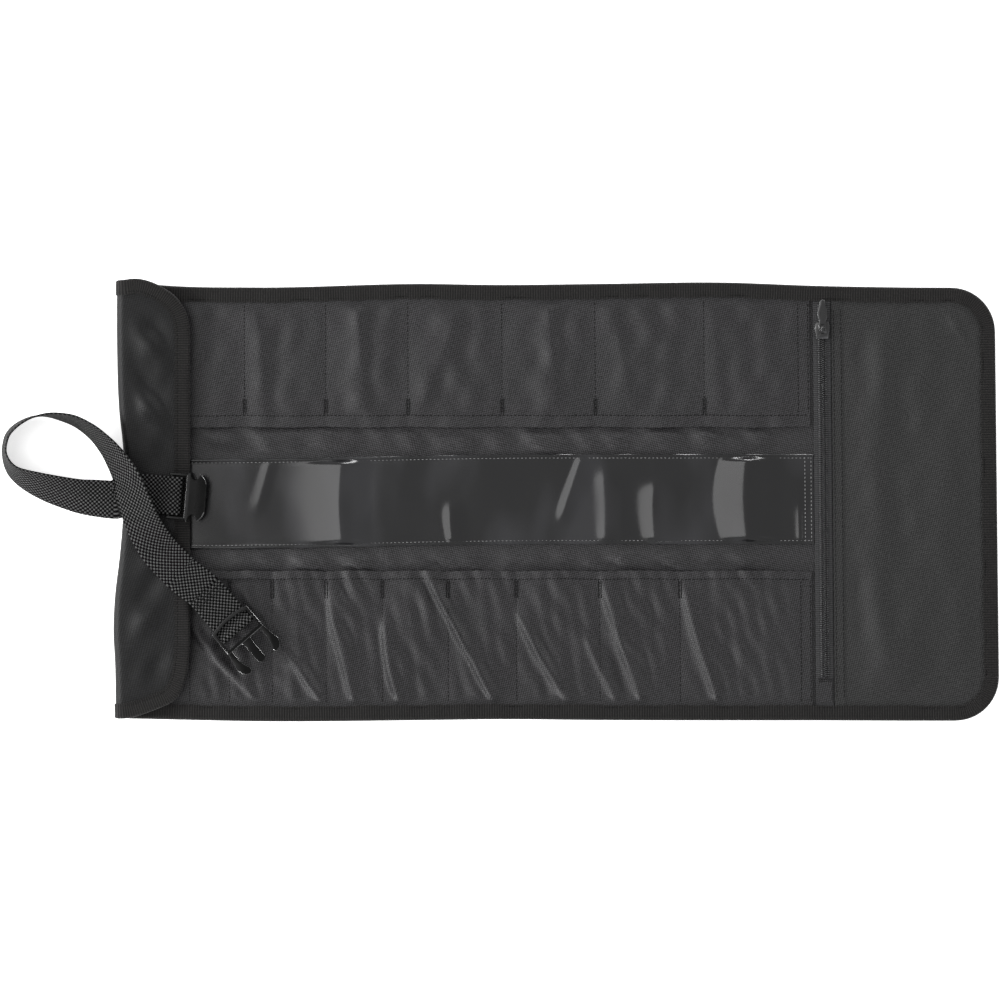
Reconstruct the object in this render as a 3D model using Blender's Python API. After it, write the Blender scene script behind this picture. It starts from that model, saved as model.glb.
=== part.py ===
"""A roll-up tool bag lying open and face up, with its end flap folded over.

Metres, +Z up. X runs along the opened bag, from the folded end to the zipped end, and Y runs
across it. The origin is under the middle of the whole object, on the surface that it lies on.
"""

import math
from collections import namedtuple

import bmesh
import bpy
from mathutils import Vector

# Opened body
BODY_LENGTH = 0.600
BODY_WIDTH = 0.296
CORNER_RADIUS = 0.030
END_LEAN = 0.0033
EDGE_WAVE = 0.0023
FOLD_BOW = 0.0034

# Cloths
SHELL_CLOTH = 0.0012
PANEL_CLOTH = 0.0010
WINDOW_FILM = 0.0008
BINDING_CLOTH = 0.0009
BINDING_WIDTH = 0.0092
GAP = 0.0003
LAYER_GAP = 0.0004
PANEL_INSET = 0.0027

# End flap
FLAP_DEPTH = 0.049
FLAP_RISE = 0.0045
FLAP_CORNER = 0.024
FLAP_DENT = 0.0012

# Pockets
UPPER_MOUTH_SHARE = 0.6765
LOWER_MOUTH_SHARE = 0.3431
ROWS_START = BODY_LENGTH * 0.0233
ROWS_END = BODY_LENGTH * 0.7883
POCKET_BULGE = 0.0054
RIDGE_HEIGHT = 0.0024
RISE_LENGTH = 0.030

# Clear window
WINDOW_START = BODY_LENGTH * 0.0300
WINDOW_END = BODY_LENGTH * 0.7915
WINDOW_BOTTOM_SHARE = 0.4063
WINDOW_TOP_SHARE = 0.6123
WINDOW_DRIFT = 0.0034
WINDOW_WAVE = 0.0008

# Zip and its panel
ZIP_LINE = BODY_LENGTH * 0.8025
ZIP_OPENING = 0.0125
ZIP_TAPE = 0.0007
ZIP_PANEL_BULGE = 0.0032
COIL_WIDTH = 0.0064
COIL_HEIGHT = 0.0020
COIL_BOTTOM_SHARE = 0.100
STOP_PATCH_LENGTH = 0.0185
STOP_PATCH_WIDTH = 0.0092

# Zip slider and pull
SLIDER_FROM_TOP = 0.03025
SLIDER_LENGTH = 0.0120
SLIDER_WIDTH = 0.0102
SLIDER_NOSE_WIDTH = 0.0094
SLIDER_PLATE = 0.0012
BRIDGE_WIDTH = 0.0022
BRIDGE_THICKNESS = 0.0009
BRIDGE_REACH = 0.0026
PULL_PIN_RADIUS = 0.0007
PULL_LENGTH = 0.0205
PULL_WIDTH = 0.0068
PULL_THICKNESS = 0.0014
PULL_EYE = 0.0040

# Strap
STRAP_WIDTH = 0.026
STRAP_THICKNESS = 0.0013
STRAP_Y = 0.0007
LOOP_REACH = 0.079
STUB_LENGTH = 0.0210
TAIL_LENGTH = 0.0255
SEAT_HEIGHT = 0.0104

# Socket half of the buckle
SOCKET_BAR_X = 0.0371
SOCKET_BAR_Y = 0.0024
SOCKET_TURN = -4.8
SOCKET_BAR_RADIUS = 0.0013
SOCKET_FRAME_LENGTH = 0.0102
SOCKET_BODY_LENGTH = 0.0143
SOCKET_MARGIN = 0.0030
SOCKET_BODY_HEIGHT = 0.0078
SOCKET_WALL = 0.0014
SOCKET_MOUTH_HEIGHT = 0.0048
SOCKET_CORNER = 0.0075

# Plug half of the buckle
STRAP_PLAY = 0.00075
SIDE_BAR = 0.0020
PLUG_X = 0.0768
PLUG_Y = -0.0822
PLUG_TURN = -49.5
PLUG_BAR_RADIUS = 0.0012
PLUG_BAR_OFFSET = 0.0078
PLUG_FRAME_LENGTH = 0.0155
PLUG_ARCH = 0.0024
PLUG_BACK_BAR = 0.0022
PLUG_BRIDGE = 0.0024
PLUG_HEIGHT = 0.0046
PRONG_LENGTH = 0.0215
PRONG_THICKNESS = 0.0040
PRONG_WIDTH = 0.0036
PRONG_LOBE = 0.0072
GUIDE_WIDTH = 0.0064
GUIDE_LENGTH = 0.0205

# Heights that follow from the layers, as middles of the cloth where they are cloth
BINDING_FLOOR = BINDING_CLOTH / 2
SHELL_Z = BINDING_CLOTH + GAP + SHELL_CLOTH / 2
SHELL_TOP = SHELL_Z + SHELL_CLOTH / 2
PANEL_FLOOR = SHELL_TOP + GAP
POCKET_TOP = PANEL_FLOOR + PANEL_CLOTH + POCKET_BULGE
FLAP_Z = POCKET_TOP + GAP + BINDING_CLOTH + GAP + SHELL_CLOTH / 2 + GAP
FOLD_RADIUS = (FLAP_Z - SHELL_Z) / 2
FLAP_TOP = FLAP_Z + SHELL_CLOTH / 2
FLAP_BINDING_TOP = FLAP_TOP + GAP + BINDING_CLOTH
STRAP_STEP = STRAP_THICKNESS + LAYER_GAP

# Places that follow from the lengths
EDGE_TURN = GAP + BINDING_CLOTH
BUCKLE_WIDTH = STRAP_WIDTH + 2 * (SIDE_BAR + STRAP_PLAY)
SOCKET_BODY_WIDTH = BUCKLE_WIDTH + SOCKET_MARGIN
TOTAL_LENGTH = BODY_LENGTH + LOOP_REACH
TOTAL_WIDTH = BODY_WIDTH + FLAP_RISE
FOLD_X = -TOTAL_LENGTH / 2 + LOOP_REACH
BOTTOM_Y = -TOTAL_WIDTH / 2
TOP_Y = BOTTOM_Y + BODY_WIDTH
UPPER_MOUTH_Y = BOTTOM_Y + BODY_WIDTH * UPPER_MOUTH_SHARE
LOWER_MOUTH_Y = BOTTOM_Y + BODY_WIDTH * LOWER_MOUTH_SHARE
WINDOW_BOTTOM_Y = BOTTOM_Y + BODY_WIDTH * WINDOW_BOTTOM_SHARE
WINDOW_TOP_Y = BOTTOM_Y + BODY_WIDTH * WINDOW_TOP_SHARE
SLIDER_Y = TOP_Y - SLIDER_FROM_TOP

# How far the two long edges stand out of line, as shares of EDGE_WAVE
EdgeRow = namedtuple("EdgeRow", "along top bottom")
EDGE_ROWS = (
    EdgeRow(0.00, 1.60, -0.75),
    EdgeRow(0.05, 0.20, -0.45),
    EdgeRow(0.16, -0.45, 0.15),
    EdgeRow(0.35, 0.60, -0.20),
    EdgeRow(0.43, 0.30, -0.45),
    EdgeRow(0.55, 0.60, -0.20),
    EdgeRow(0.69, 1.00, -0.10),
    EdgeRow(0.80, 0.00, -0.10),
    EdgeRow(0.90, -0.45, 0.00),
    EdgeRow(1.00, -0.50, 0.00),
)

# Where the folded edge bows in, from the bottom edge (0) to the top edge (1), in shares of FOLD_BOW
FoldRow = namedtuple("FoldRow", "across bow")
FOLD_ROWS = (
    FoldRow(0.00, 0.0),
    FoldRow(0.14, -0.2),
    FoldRow(0.20, -0.5),
    FoldRow(0.29, -0.2),
    FoldRow(0.37, 0.6),
    FoldRow(0.47, 1.3),
    FoldRow(0.63, 1.3),
    FoldRow(0.71, 0.6),
    FoldRow(0.86, 0.2),
    FoldRow(1.00, 0.2),
)

# The flap's outline, set in from the folded edge's ends, in shares of FLAP_CORNER
FlapRow = namedtuple("FlapRow", "depth top bottom")
FLAP_ROWS = (
    FlapRow(0.00, 0.00, 0.00),
    FlapRow(0.14, -0.04, 0.04),
    FlapRow(0.30, -0.01, 0.13),
    FlapRow(0.45, 0.08, 0.23),
    FlapRow(0.60, 0.22, 0.34),
    FlapRow(0.74, 0.38, 0.46),
    FlapRow(0.86, 0.62, 0.72),
    FlapRow(0.94, 0.88, 1.12),
    FlapRow(0.985, 1.15, 1.65),
    FlapRow(1.00, 1.45, 2.20),
)

# Soft dents in the flap: depth and width across in shares of the flap, height in shares of FLAP_DENT
Dent = namedtuple("Dent", "depth across slope spread height")
FLAP_DENTS = (
    Dent(0.35, 0.86, -1.0, 0.16, -1.0),
    Dent(0.40, 0.74, -0.8, 0.14, 0.6),
    Dent(0.45, 0.66, -0.8, 0.12, -0.8),
    Dent(0.45, 0.20, 0.6, 0.16, -0.8),
    Dent(0.55, 0.12, 0.6, 0.12, 0.6),
)

# Seams between pockets along each row, in shares of the body's length, and each pocket's fullness
Pocket = namedtuple("Pocket", "start end fullness")
UPPER_POCKETS = (
    Pocket(0.052, 0.145, 0.98),
    Pocket(0.145, 0.2375, 0.98),
    Pocket(0.2375, 0.331, 1.00),
    Pocket(0.331, 0.438, 0.96),
    Pocket(0.438, 0.544, 1.00),
    Pocket(0.544, 0.668, 0.97),
    Pocket(0.668, 0.774, 0.96),
)
LOWER_POCKETS = (
    Pocket(0.0375, 0.0825, 0.97),
    Pocket(0.0825, 0.1275, 0.97),
    Pocket(0.1275, 0.176, 0.97),
    Pocket(0.176, 0.237, 1.00),
    Pocket(0.237, 0.301, 0.96),
    Pocket(0.301, 0.3755, 1.00),
    Pocket(0.3755, 0.453, 0.96),
    Pocket(0.453, 0.5475, 1.00),
    Pocket(0.5475, 0.6385, 0.97),
    Pocket(0.6385, 0.779, 0.96),
)

# Folds in the pocket cloth: ends along the body in shares of its length and down the pocket in
# shares of its depth, then the sweep of the curve, and the height and width in shares of RIDGE_HEIGHT
Ridge = namedtuple("Ridge", "start end from_depth to_depth sweep height width")
UPPER_RIDGES = (
    Ridge(0.178, 0.165, 0.05, 0.85, 1.0, 0.50, 2.4),
    Ridge(0.285, 0.272, 0.05, 0.90, 1.4, 0.55, 2.4),
    Ridge(0.345, 0.385, 0.05, 0.80, 1.0, 0.50, 2.6),
    Ridge(0.505, 0.490, 0.05, 0.90, 1.0, 0.55, 2.6),
    Ridge(0.585, 0.562, 0.15, 0.90, 1.0, 0.45, 2.4),
    Ridge(0.690, 0.676, 0.05, 0.85, 1.0, 0.45, 2.4),
)
LOWER_RIDGES = (
    Ridge(0.0851, 0.1680, 0.38, 0.93, 1.2, 0.60, 1.5),
    Ridge(0.1907, 0.2372, 0.55, 0.93, 1.0, 0.70, 1.5),
    Ridge(0.2406, 0.2713, 0.10, 0.93, 1.4, 0.70, 1.7),
    Ridge(0.3036, 0.3224, 0.32, 0.93, 2.2, 0.80, 1.6),
    Ridge(0.3519, 0.4291, 0.03, 0.93, 1.0, 1.00, 1.5),
    Ridge(0.4552, 0.5142, 0.28, 0.93, 1.2, 0.80, 1.6),
    Ridge(0.5312, 0.5664, 0.42, 0.90, 1.2, 0.60, 1.5),
    Ridge(0.5516, 0.5970, 0.04, 0.93, 1.2, 0.80, 1.7),
    Ridge(0.6424, 0.6833, 0.06, 0.93, 1.2, 0.70, 1.8),
)

# The strap's free loop: places in shares of LOOP_REACH from the folded edge and from STRAP_Y,
# heights in shares of STRAP_WIDTH, its heading in plan, and its lean from lying flat, in degrees
StrapRow = namedtuple("StrapRow", "along across height heading lean")
LOOP_ROWS = (
    StrapRow(0.000, -0.009, 0.555, 178, 5),
    StrapRow(-0.170, 0.006, 0.535, 173, 15),
    StrapRow(-0.345, 0.030, 0.515, 170, 29),
    StrapRow(-0.650, 0.116, 0.500, 161, 48),
    StrapRow(-0.870, 0.224, 0.510, 137, 67),
    StrapRow(-0.955, 0.375, 0.520, 96, 78),
    StrapRow(-0.938, 0.530, 0.525, 64, 79),
    StrapRow(-0.866, 0.621, 0.527, 42, 81),
    StrapRow(-0.750, 0.690, 0.530, 22, 85),
    StrapRow(-0.638, 0.716, 0.533, 5, 90),
    StrapRow(-0.517, 0.711, 0.540, -6, 98),
    StrapRow(-0.353, 0.668, 0.560, -20, 106),
    StrapRow(-0.207, 0.578, 0.610, -33, 112),
    StrapRow(-0.103, 0.478, 0.680, -43, 118),
    StrapRow(-0.022, 0.379, 0.755, -51, 125),
    StrapRow(0.056, 0.259, 0.830, -59, 133),
    StrapRow(0.119, 0.129, 0.890, -64, 142),
    StrapRow(0.177, -0.043, 0.870, -61, 150),
    StrapRow(0.250, -0.233, 0.760, -56, 159),
    StrapRow(0.374, -0.438, 0.635, -51, 171),
    StrapRow(0.556, -0.634, 0.575, -48, 178),
)

CORNER_STEPS = 6
FOLD_STEPS = 6
BODY_STEPS = 17
ACROSS_SHARES = (0.0, 0.035, 0.12, 0.21, 0.30, 0.38, 0.47, 0.56, 0.64, 0.73, 0.82, 0.90, 0.965, 1.0)
POCKET_SHARES = (0.0, 0.10, 0.25, 0.42, 0.58, 0.75, 0.90)
DEPTH_STEPS = 9
STRAP_SPANS = 2
WRAP_STEPS = 7

Finish = namedtuple("Finish", "colour roughness metallic")
PACK_CLOTH = Finish((0.046, 0.045, 0.046), 0.75, 0.0)
FLAP_CLOTH = Finish((0.036, 0.036, 0.036), 0.72, 0.0)
BINDING_TAPE = Finish((0.026, 0.025, 0.022), 0.85, 0.0)
WEBBING = Finish((0.022, 0.022, 0.022), 0.80, 0.0)
CLEAR_FILM = Finish((0.060, 0.060, 0.060), 0.12, 0.0)
MOULDED_PLASTIC = Finish((0.012, 0.012, 0.012), 0.30, 0.0)
PAINTED_METAL = Finish((0.015, 0.015, 0.016), 0.28, 0.6)


def between(rows, share, column):
    """The value of a table's column at a share, eased between its rows."""
    share = min(max(share, rows[0][0]), rows[-1][0])
    index = names_of(rows).index(column)
    for low, high in zip(rows, rows[1:]):
        if share <= high[0]:
            blend = (share - low[0]) / (high[0] - low[0])
            eased = blend * blend * (3 - 2 * blend)
            return low[index] + (high[index] - low[index]) * eased
    return rows[-1][index]


def names_of(rows):
    """The column names of a table."""
    return rows[0]._fields


def ramp(value):
    """0 below 0, 1 above 1, and eased between them."""
    value = min(max(value, 0.0), 1.0)
    return value * value * (3 - 2 * value)


def across_share(y):
    """A place across the body, from its bottom edge (0) to its top edge (1)."""
    return (y - BOTTOM_Y) / BODY_WIDTH


def fold_x(y):
    """Where the folded edge lies at a height across the bag."""
    return FOLD_X + FOLD_BOW * between(FOLD_ROWS, across_share(y), "bow")


def body_x(along, y):
    """The place of a distance along the body: its far end leans a little."""
    lean = END_LEAN * (0.12 - across_share(y)) * along / BODY_LENGTH
    return FOLD_X + along + lean


def corner_cut(along, inset):
    """How far a rounded corner takes the edge in, at a distance along the body."""
    radius = CORNER_RADIUS - inset
    past = along - (BODY_LENGTH - CORNER_RADIUS)
    if past <= 0:
        return 0.0
    past = min(past, radius)
    return radius - math.sqrt(radius * radius - past * past)


def top_edge(along, inset=0.0):
    """The body's top edge, or a line inside it."""
    wave = EDGE_WAVE * between(EDGE_ROWS, along / BODY_LENGTH, "top")
    return TOP_Y + wave - inset - corner_cut(along, inset)


def bottom_edge(along, inset=0.0):
    """The body's bottom edge, or a line inside it."""
    wave = EDGE_WAVE * between(EDGE_ROWS, along / BODY_LENGTH, "bottom")
    return BOTTOM_Y - wave + inset + corner_cut(along, inset)


def new_material(name, finish):
    """A plain surface of one colour."""
    material = bpy.data.materials.new(name)
    material.use_nodes = True
    shader = material.node_tree.nodes["Principled BSDF"]
    shader.inputs["Base Color"].default_value = (*finish.colour, 1.0)
    shader.inputs["Roughness"].default_value = finish.roughness
    shader.inputs["Metallic"].default_value = finish.metallic
    material.diffuse_color = (*finish.colour, 1.0)
    return material


def finished(name, mesh, finish, smooth_angle=35.0):
    """Makes a named object of a closed mesh, with its faces turned out."""
    bmesh.ops.recalc_face_normals(mesh, faces=mesh.faces)
    data = bpy.data.meshes.new(name)
    mesh.to_mesh(data)
    mesh.free()
    data.shade_smooth()
    data.set_sharp_from_angle(angle=math.radians(smooth_angle))
    data.materials.append(new_material(name, finish))
    piece = bpy.data.objects.new(name, data)
    bpy.context.scene.collection.objects.link(piece)
    return piece


def grid_solid(name, under, over, finish):
    """A closed sheet between two grids of points that match."""
    mesh = bmesh.new()
    rows, columns = len(under), len(under[0])
    low = [[mesh.verts.new(point) for point in row] for row in under]
    high = [[mesh.verts.new(point) for point in row] for row in over]
    for i in range(rows - 1):
        for j in range(columns - 1):
            mesh.faces.new((high[i][j], high[i + 1][j], high[i + 1][j + 1], high[i][j + 1]))
            mesh.faces.new((low[i][j], low[i][j + 1], low[i + 1][j + 1], low[i + 1][j]))
    rim = [(i, 0) for i in range(rows)]
    rim += [(rows - 1, j) for j in range(1, columns)]
    rim += [(i, columns - 1) for i in range(rows - 2, -1, -1)]
    rim += [(0, j) for j in range(columns - 2, 0, -1)]
    for (i, j), (k, m) in zip(rim, rim[1:] + rim[:1]):
        mesh.faces.new((low[i][j], low[k][m], high[k][m], high[i][j]))
    return finished(name, mesh, finish)


def swept_solid(name, sections, finish):
    """A closed body through rings of points, capped at its ends."""
    mesh = bmesh.new()
    rings = [[mesh.verts.new(point) for point in ring] for ring in sections]
    for first, second in zip(rings, rings[1:]):
        for k in range(len(first)):
            following = (k + 1) % len(first)
            mesh.faces.new((first[k], first[following], second[following], second[k]))
    mesh.faces.new(rings[0])
    mesh.faces.new(rings[-1][::-1])
    return finished(name, mesh, finish)


def set_back(sections):
    """The same sections with both ends drawn in by half a gap, to stand clear of what follows."""
    placed = [list(section) for section in sections]
    for end, beside in ((0, 1), (-1, -2)):
        placed[end] = [
            point + (other - point).normalized() * GAP / 2
            for point, other in zip(sections[end], sections[beside])
        ]
    return placed


def outline_solid(name, outline, bottom, top, finish):
    """A flat plate of an outline given as plan points, between two heights."""
    sections = [[(x, y, z) for x, y in outline] for z in (bottom, top)]
    return swept_solid(name, sections, finish)


def cut_away(piece, cutter):
    """Takes a cutter's shape out of a piece and removes the cutter."""
    combine(piece, cutter, "DIFFERENCE")


def join_on(piece, other):
    """Fuses another shape into a piece."""
    combine(piece, other, "UNION")


def combine(piece, other, operation):
    """Applies a Boolean with another object, which is then removed."""
    modifier = piece.modifiers.new("combine", "BOOLEAN")
    modifier.operation = operation
    modifier.solver = "EXACT"
    modifier.object = other
    graph = bpy.context.evaluated_depsgraph_get()
    shaped = bpy.data.meshes.new_from_object(piece.evaluated_get(graph))
    piece.modifiers.clear()
    old = piece.data
    piece.data = shaped
    bpy.data.meshes.remove(old)
    bpy.data.objects.remove(other, do_unlink=True)


def turned(origin, degrees, along, sideways, height):
    """A point given along and to the left of a direction in plan, at a height."""
    angle = math.radians(degrees)
    ahead = Vector((math.cos(angle), math.sin(angle), 0.0))
    left = Vector((-math.sin(angle), math.cos(angle), 0.0))
    point = Vector((origin[0], origin[1], 0.0)) + ahead * along + left * sideways
    point.z = height
    return point


# The shell, with its flap, and the tape round its edge


def body_stations():
    """Distances along the body, from its far end to the fold, closer at the round corners."""
    radius = CORNER_RADIUS - EDGE_TURN
    corner = [
        BODY_LENGTH - CORNER_RADIUS + radius * math.cos(math.pi / 2 * k / CORNER_STEPS)
        for k in range(CORNER_STEPS)
    ]
    start = BODY_LENGTH - CORNER_RADIUS
    end = FOLD_RADIUS + FOLD_BOW * 1.5
    straight = [start + (end - start) * k / BODY_STEPS for k in range(BODY_STEPS + 1)]
    return corner + straight


def flap_dent(depth, across):
    """The flap's soft dents, fading at its edges and where the strap is sewn."""
    height = 0.0
    for dent in FLAP_DENTS:
        offset = across - dent.across - dent.slope * (depth - dent.depth) * 0.16
        height += dent.height * math.exp(-((offset / dent.spread / 0.35) ** 2))
    edge = ramp(depth / 0.25) * ramp((0.72 - depth) / 0.2)
    edge *= ramp(across / 0.12 - 0.4) * ramp((1 - across) / 0.12 - 0.4)
    strap = ramp((abs(across - 0.5) - 0.10) / 0.08)
    return FLAP_DENT * height * edge * strap


def shell_rows():
    """Rows of (middle point, direction to the inner side) over the shell and its flap."""
    rows = []
    for along in body_stations():
        row = []
        for share in ACROSS_SHARES:
            low, high = bottom_edge(along, EDGE_TURN), top_edge(along, EDGE_TURN)
            y = low + (high - low) * share
            near_fold = ramp(1 - along / (BODY_LENGTH * 0.08))
            x = body_x(along, y) + (fold_x(y) - FOLD_X) * near_fold
            row.append((Vector((x, y, SHELL_Z)), Vector((0, 0, 1))))
        rows.append(row)
    low_end, high_end = bottom_edge(0.0, EDGE_TURN), top_edge(0.0, EDGE_TURN)
    for step in range(1, FOLD_STEPS + 1):
        angle = math.pi * step / FOLD_STEPS
        row = []
        for share in ACROSS_SHARES:
            y = low_end + (high_end - low_end) * share
            centre = Vector((fold_x(y) + FOLD_RADIUS, y, SHELL_Z + FOLD_RADIUS))
            out = Vector((-math.sin(angle), 0, -math.cos(angle)))
            row.append((centre + out * FOLD_RADIUS, -out))
        rows.append(row)
    for flap in FLAP_ROWS[1:]:
        low = low_end + flap.bottom * FLAP_CORNER
        high = high_end - flap.top * FLAP_CORNER
        row = []
        for share in ACROSS_SHARES:
            y = low + (high - low) * share
            start = fold_x(y) + FOLD_RADIUS
            x = start + (FOLD_X + FLAP_DEPTH - start) * flap.depth
            z = FLAP_Z + flap_dent(flap.depth, across_share(y))
            row.append((Vector((x, y, z)), Vector((0, 0, -1))))
        rows.append(row)
    return rows


def make_shell(rows):
    """The outer cloth: the whole floor of the bag, its fold and its flap, as one solid each."""
    half = SHELL_CLOTH / 2
    fold_start = len(body_stations()) - 1
    fold_end = fold_start + FOLD_STEPS
    stretches = (
        ("outer_shell", 0, fold_start),
        ("shell_fold", fold_start, fold_end),
        ("end_flap", fold_end, len(rows) - 1),
    )
    for name, start, end in stretches:
        part = rows[start : end + 1]
        under = [[point - inner * half for point, inner in row] for row in part]
        over = [[point + inner * half for point, inner in row] for row in part]
        grid_solid(name, set_back(under), set_back(over), FLAP_CLOTH)


def make_binding(rows):
    """The tape that wraps the whole edge, as one solid for each straight or bent run of it."""
    count, last = len(rows), len(rows[0]) - 1
    edge = [(i, 0) for i in range(count)]
    edge += [(count - 1, j) for j in range(1, last)]
    edge += [(i, last) for i in range(count - 1, -1, -1)]
    edge += [(0, j) for j in range(last - 1, 0, -1)]
    body_rows = len(body_stations())
    body_stack = SHELL_CLOTH / 2 + GAP + PANEL_CLOTH + GAP
    flap_stack = SHELL_CLOTH / 2 + GAP
    sections = []
    for k, (i, j) in enumerate(edge):
        point, inner = rows[i][j]
        before, after = edge[k - 1], edge[(k + 1) % len(edge)]
        tangent = rows[after[0]][after[1]][0] - rows[before[0]][before[1]][0]
        inward = tangent.cross(inner).normalized()
        folded = ramp((i - body_rows + 1) / FOLD_STEPS)
        stack = body_stack + (flap_stack - body_stack) * folded
        leg, web = BINDING_WIDTH, GAP
        profile = (
            (leg, -flap_stack),
            (leg, -flap_stack - BINDING_CLOTH),
            (-web - BINDING_CLOTH * 0.4, -flap_stack - BINDING_CLOTH),
            (-web - BINDING_CLOTH, -flap_stack),
            (-web - BINDING_CLOTH, stack),
            (-web - BINDING_CLOTH * 0.4, stack + BINDING_CLOTH),
            (leg, stack + BINDING_CLOTH),
            (leg, stack),
            (-web, stack),
            (-web, -flap_stack),
        )
        sections.append([point + inward * d + inner * n for d, n in profile])
    ends = [
        edge.index((row, column))
        for column in (0, last)
        for row in (CORNER_STEPS, body_rows - 1, body_rows - 1 + FOLD_STEPS)
    ]
    ends.sort()
    names = ("bottom", "bottom_fold", "flap", "top_fold", "top", "end")
    for name, start, end in zip(names, ends, ends[1:] + [ends[0] + len(edge)]):
        run = [sections[k % len(edge)] for k in range(start, end + 1)]
        swept_solid(f"binding_{name}", set_back(run), BINDING_TAPE)


# The pockets, the window and the zip panel


def ridge_height(ridges, along, depth):
    """The height that a row's folds add at a place on it."""
    height = 0.0
    for ridge in ridges:
        run = (depth - ridge.from_depth) / (ridge.to_depth - ridge.from_depth)
        if -0.1 < run < 1.1:
            line = ridge.start + (ridge.end - ridge.start) * max(run, 0.0) ** ridge.sweep
            offset = (along - line * BODY_LENGTH) / (ridge.width * RIDGE_HEIGHT)
            fade = ramp((run + 0.1) / 0.3) * ramp((1.1 - run) / 0.2)
            height += ridge.height * math.exp(-offset * offset) * fade
    return min(height, 1.0) * RIDGE_HEIGHT


def pocket_height(pockets, ridges, along, depth, flat_share, rise_share):
    """How far the pocket cloth stands off the shell: nothing at a seam and at the closed end."""
    rise = math.sin(math.pi / 2 * min(max((1 - flat_share - depth) / rise_share, 0.0), 1.0))
    share = along / BODY_LENGTH
    bulge = 0.0
    for pocket in pockets:
        if pocket.start < share < pocket.end:
            place = (share - pocket.start) / (pocket.end - pocket.start)
            bulge = pocket.fullness * math.sin(math.pi * place) ** 0.6
    lift = POCKET_BULGE * bulge * rise
    clear_of_flap = ramp((along - FLAP_DEPTH * 1.15) / FLAP_DEPTH * 3)
    ridge = ridge_height(ridges, along, depth) * clear_of_flap * ramp((1 - depth - flat_share) * 12)
    room = POCKET_BULGE - lift
    return lift + min(ridge, room)


def row_stations(pockets):
    """Distances along a row of pockets, closer at its seams."""
    stations = [ROWS_START, (ROWS_START + pockets[0].start * BODY_LENGTH) / 2]
    for pocket in pockets:
        width = pocket.end - pocket.start
        stations += [(pocket.start + width * share) * BODY_LENGTH for share in POCKET_SHARES]
    stations += [pockets[-1].end * BODY_LENGTH, ROWS_END]
    return stations


def row_place(pockets, ridges, mouth, edge, along, depth):
    """A point on the underside of a row of pockets."""
    closed = edge(along, PANEL_INSET)
    y = mouth + (closed - mouth) * depth
    whole = abs(closed - mouth)
    flat_share = BINDING_WIDTH / whole
    height = pocket_height(pockets, ridges, along, depth, flat_share, RISE_LENGTH / whole)
    return Vector((body_x(along, y), y, PANEL_FLOOR + height))


def make_pocket_row(name, pockets, ridges, mouth, edge):
    """One strip of cloth that its seams divide into pockets, open along its mouth."""
    under = []
    for along in row_stations(pockets):
        flat_from = 1 - BINDING_WIDTH / abs(edge(along, PANEL_INSET) - mouth)
        depths = [flat_from * step / (DEPTH_STEPS - 1) for step in range(DEPTH_STEPS)] + [1.0]
        row = [row_place(pockets, ridges, mouth, edge, along, depth) for depth in depths]
        under.append(row)
    over = [[point + Vector((0, 0, PANEL_CLOTH)) for point in row] for row in under]
    return grid_solid(name, under, over, PACK_CLOTH)


def make_window():
    """The clear strip between the rows of pockets, drifting down towards the flap."""
    steps, across = 36, 3
    under = []
    for k in range(steps + 1):
        along = WINDOW_START + (WINDOW_END - WINDOW_START) * k / steps
        drift = -WINDOW_DRIFT * ramp((0.62 - k / steps) / 0.55)
        row = []
        for m in range(across + 1):
            share = m / across
            y = WINDOW_BOTTOM_Y + (WINDOW_TOP_Y - WINDOW_BOTTOM_Y) * share + drift
            swell = (0.5 - 0.5 * math.cos(k * 2.1)) * ramp(k / 3) * ramp((steps - k) / 2)
            height = WINDOW_WAVE * swell * (1.0 if 0 < m < across else 0.0)
            row.append(Vector((body_x(along, y), y, PANEL_FLOOR + height)))
        under.append(row)
    over = [[point + Vector((0, 0, WINDOW_FILM)) for point in row] for row in under]
    return grid_solid("clear_window", under, over, CLEAR_FILM)


def make_zip_panel():
    """The cloth of the zipped pocket at the far end, under the binding on three sides."""
    start = ZIP_LINE + ZIP_OPENING / 2 + GAP
    corner = [
        BODY_LENGTH - CORNER_RADIUS
        + (CORNER_RADIUS - PANEL_INSET) * math.sin(math.pi / 2 * k / CORNER_STEPS)
        for k in range(CORNER_STEPS + 1)
    ]
    steps = 5
    straight = [start + (corner[0] - start) * k / steps for k in range(steps)]
    under = []
    for along in straight + corner:
        low, high = bottom_edge(along, PANEL_INSET), top_edge(along, PANEL_INSET)
        row = []
        for share in ACROSS_SHARES:
            y = low + (high - low) * share
            margin = BINDING_WIDTH
            inside = min(y - low, high - y, BODY_LENGTH - along) - margin
            lift = ZIP_PANEL_BULGE * ramp(inside / 0.05) * ramp((along - start) / 0.04)
            row.append(Vector((body_x(along, y), y, PANEL_FLOOR + lift)))
        under.append(row)
    over = [[point + Vector((0, 0, PANEL_CLOTH)) for point in row] for row in under]
    return grid_solid("zip_pocket_panel", under, over, PACK_CLOTH)


# The zip


def zip_point(offset, y, z):
    """A point beside the zip's line, which leans as the far end does."""
    return Vector((body_x(ZIP_LINE, y) + offset, y, z))


def zip_strip(name, width, low, high, bottom, finish, crown=0.0):
    """A strip along the zip's line, flat or with a crowned top."""
    sections = []
    for y in (low, high):
        half = width / 2
        top = bottom + (crown if crown else ZIP_TAPE)
        ring = [(-half, bottom), (half, bottom), (half, (bottom + top) / 2 if crown else top)]
        if crown:
            ring += [(half * 0.55, top), (-half * 0.55, top), (-half, (bottom + top) / 2)]
        else:
            ring += [(-half, top)]
        sections.append([zip_point(dx, y, z) for dx, z in ring])
    return swept_solid(name, sections, finish)


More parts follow.
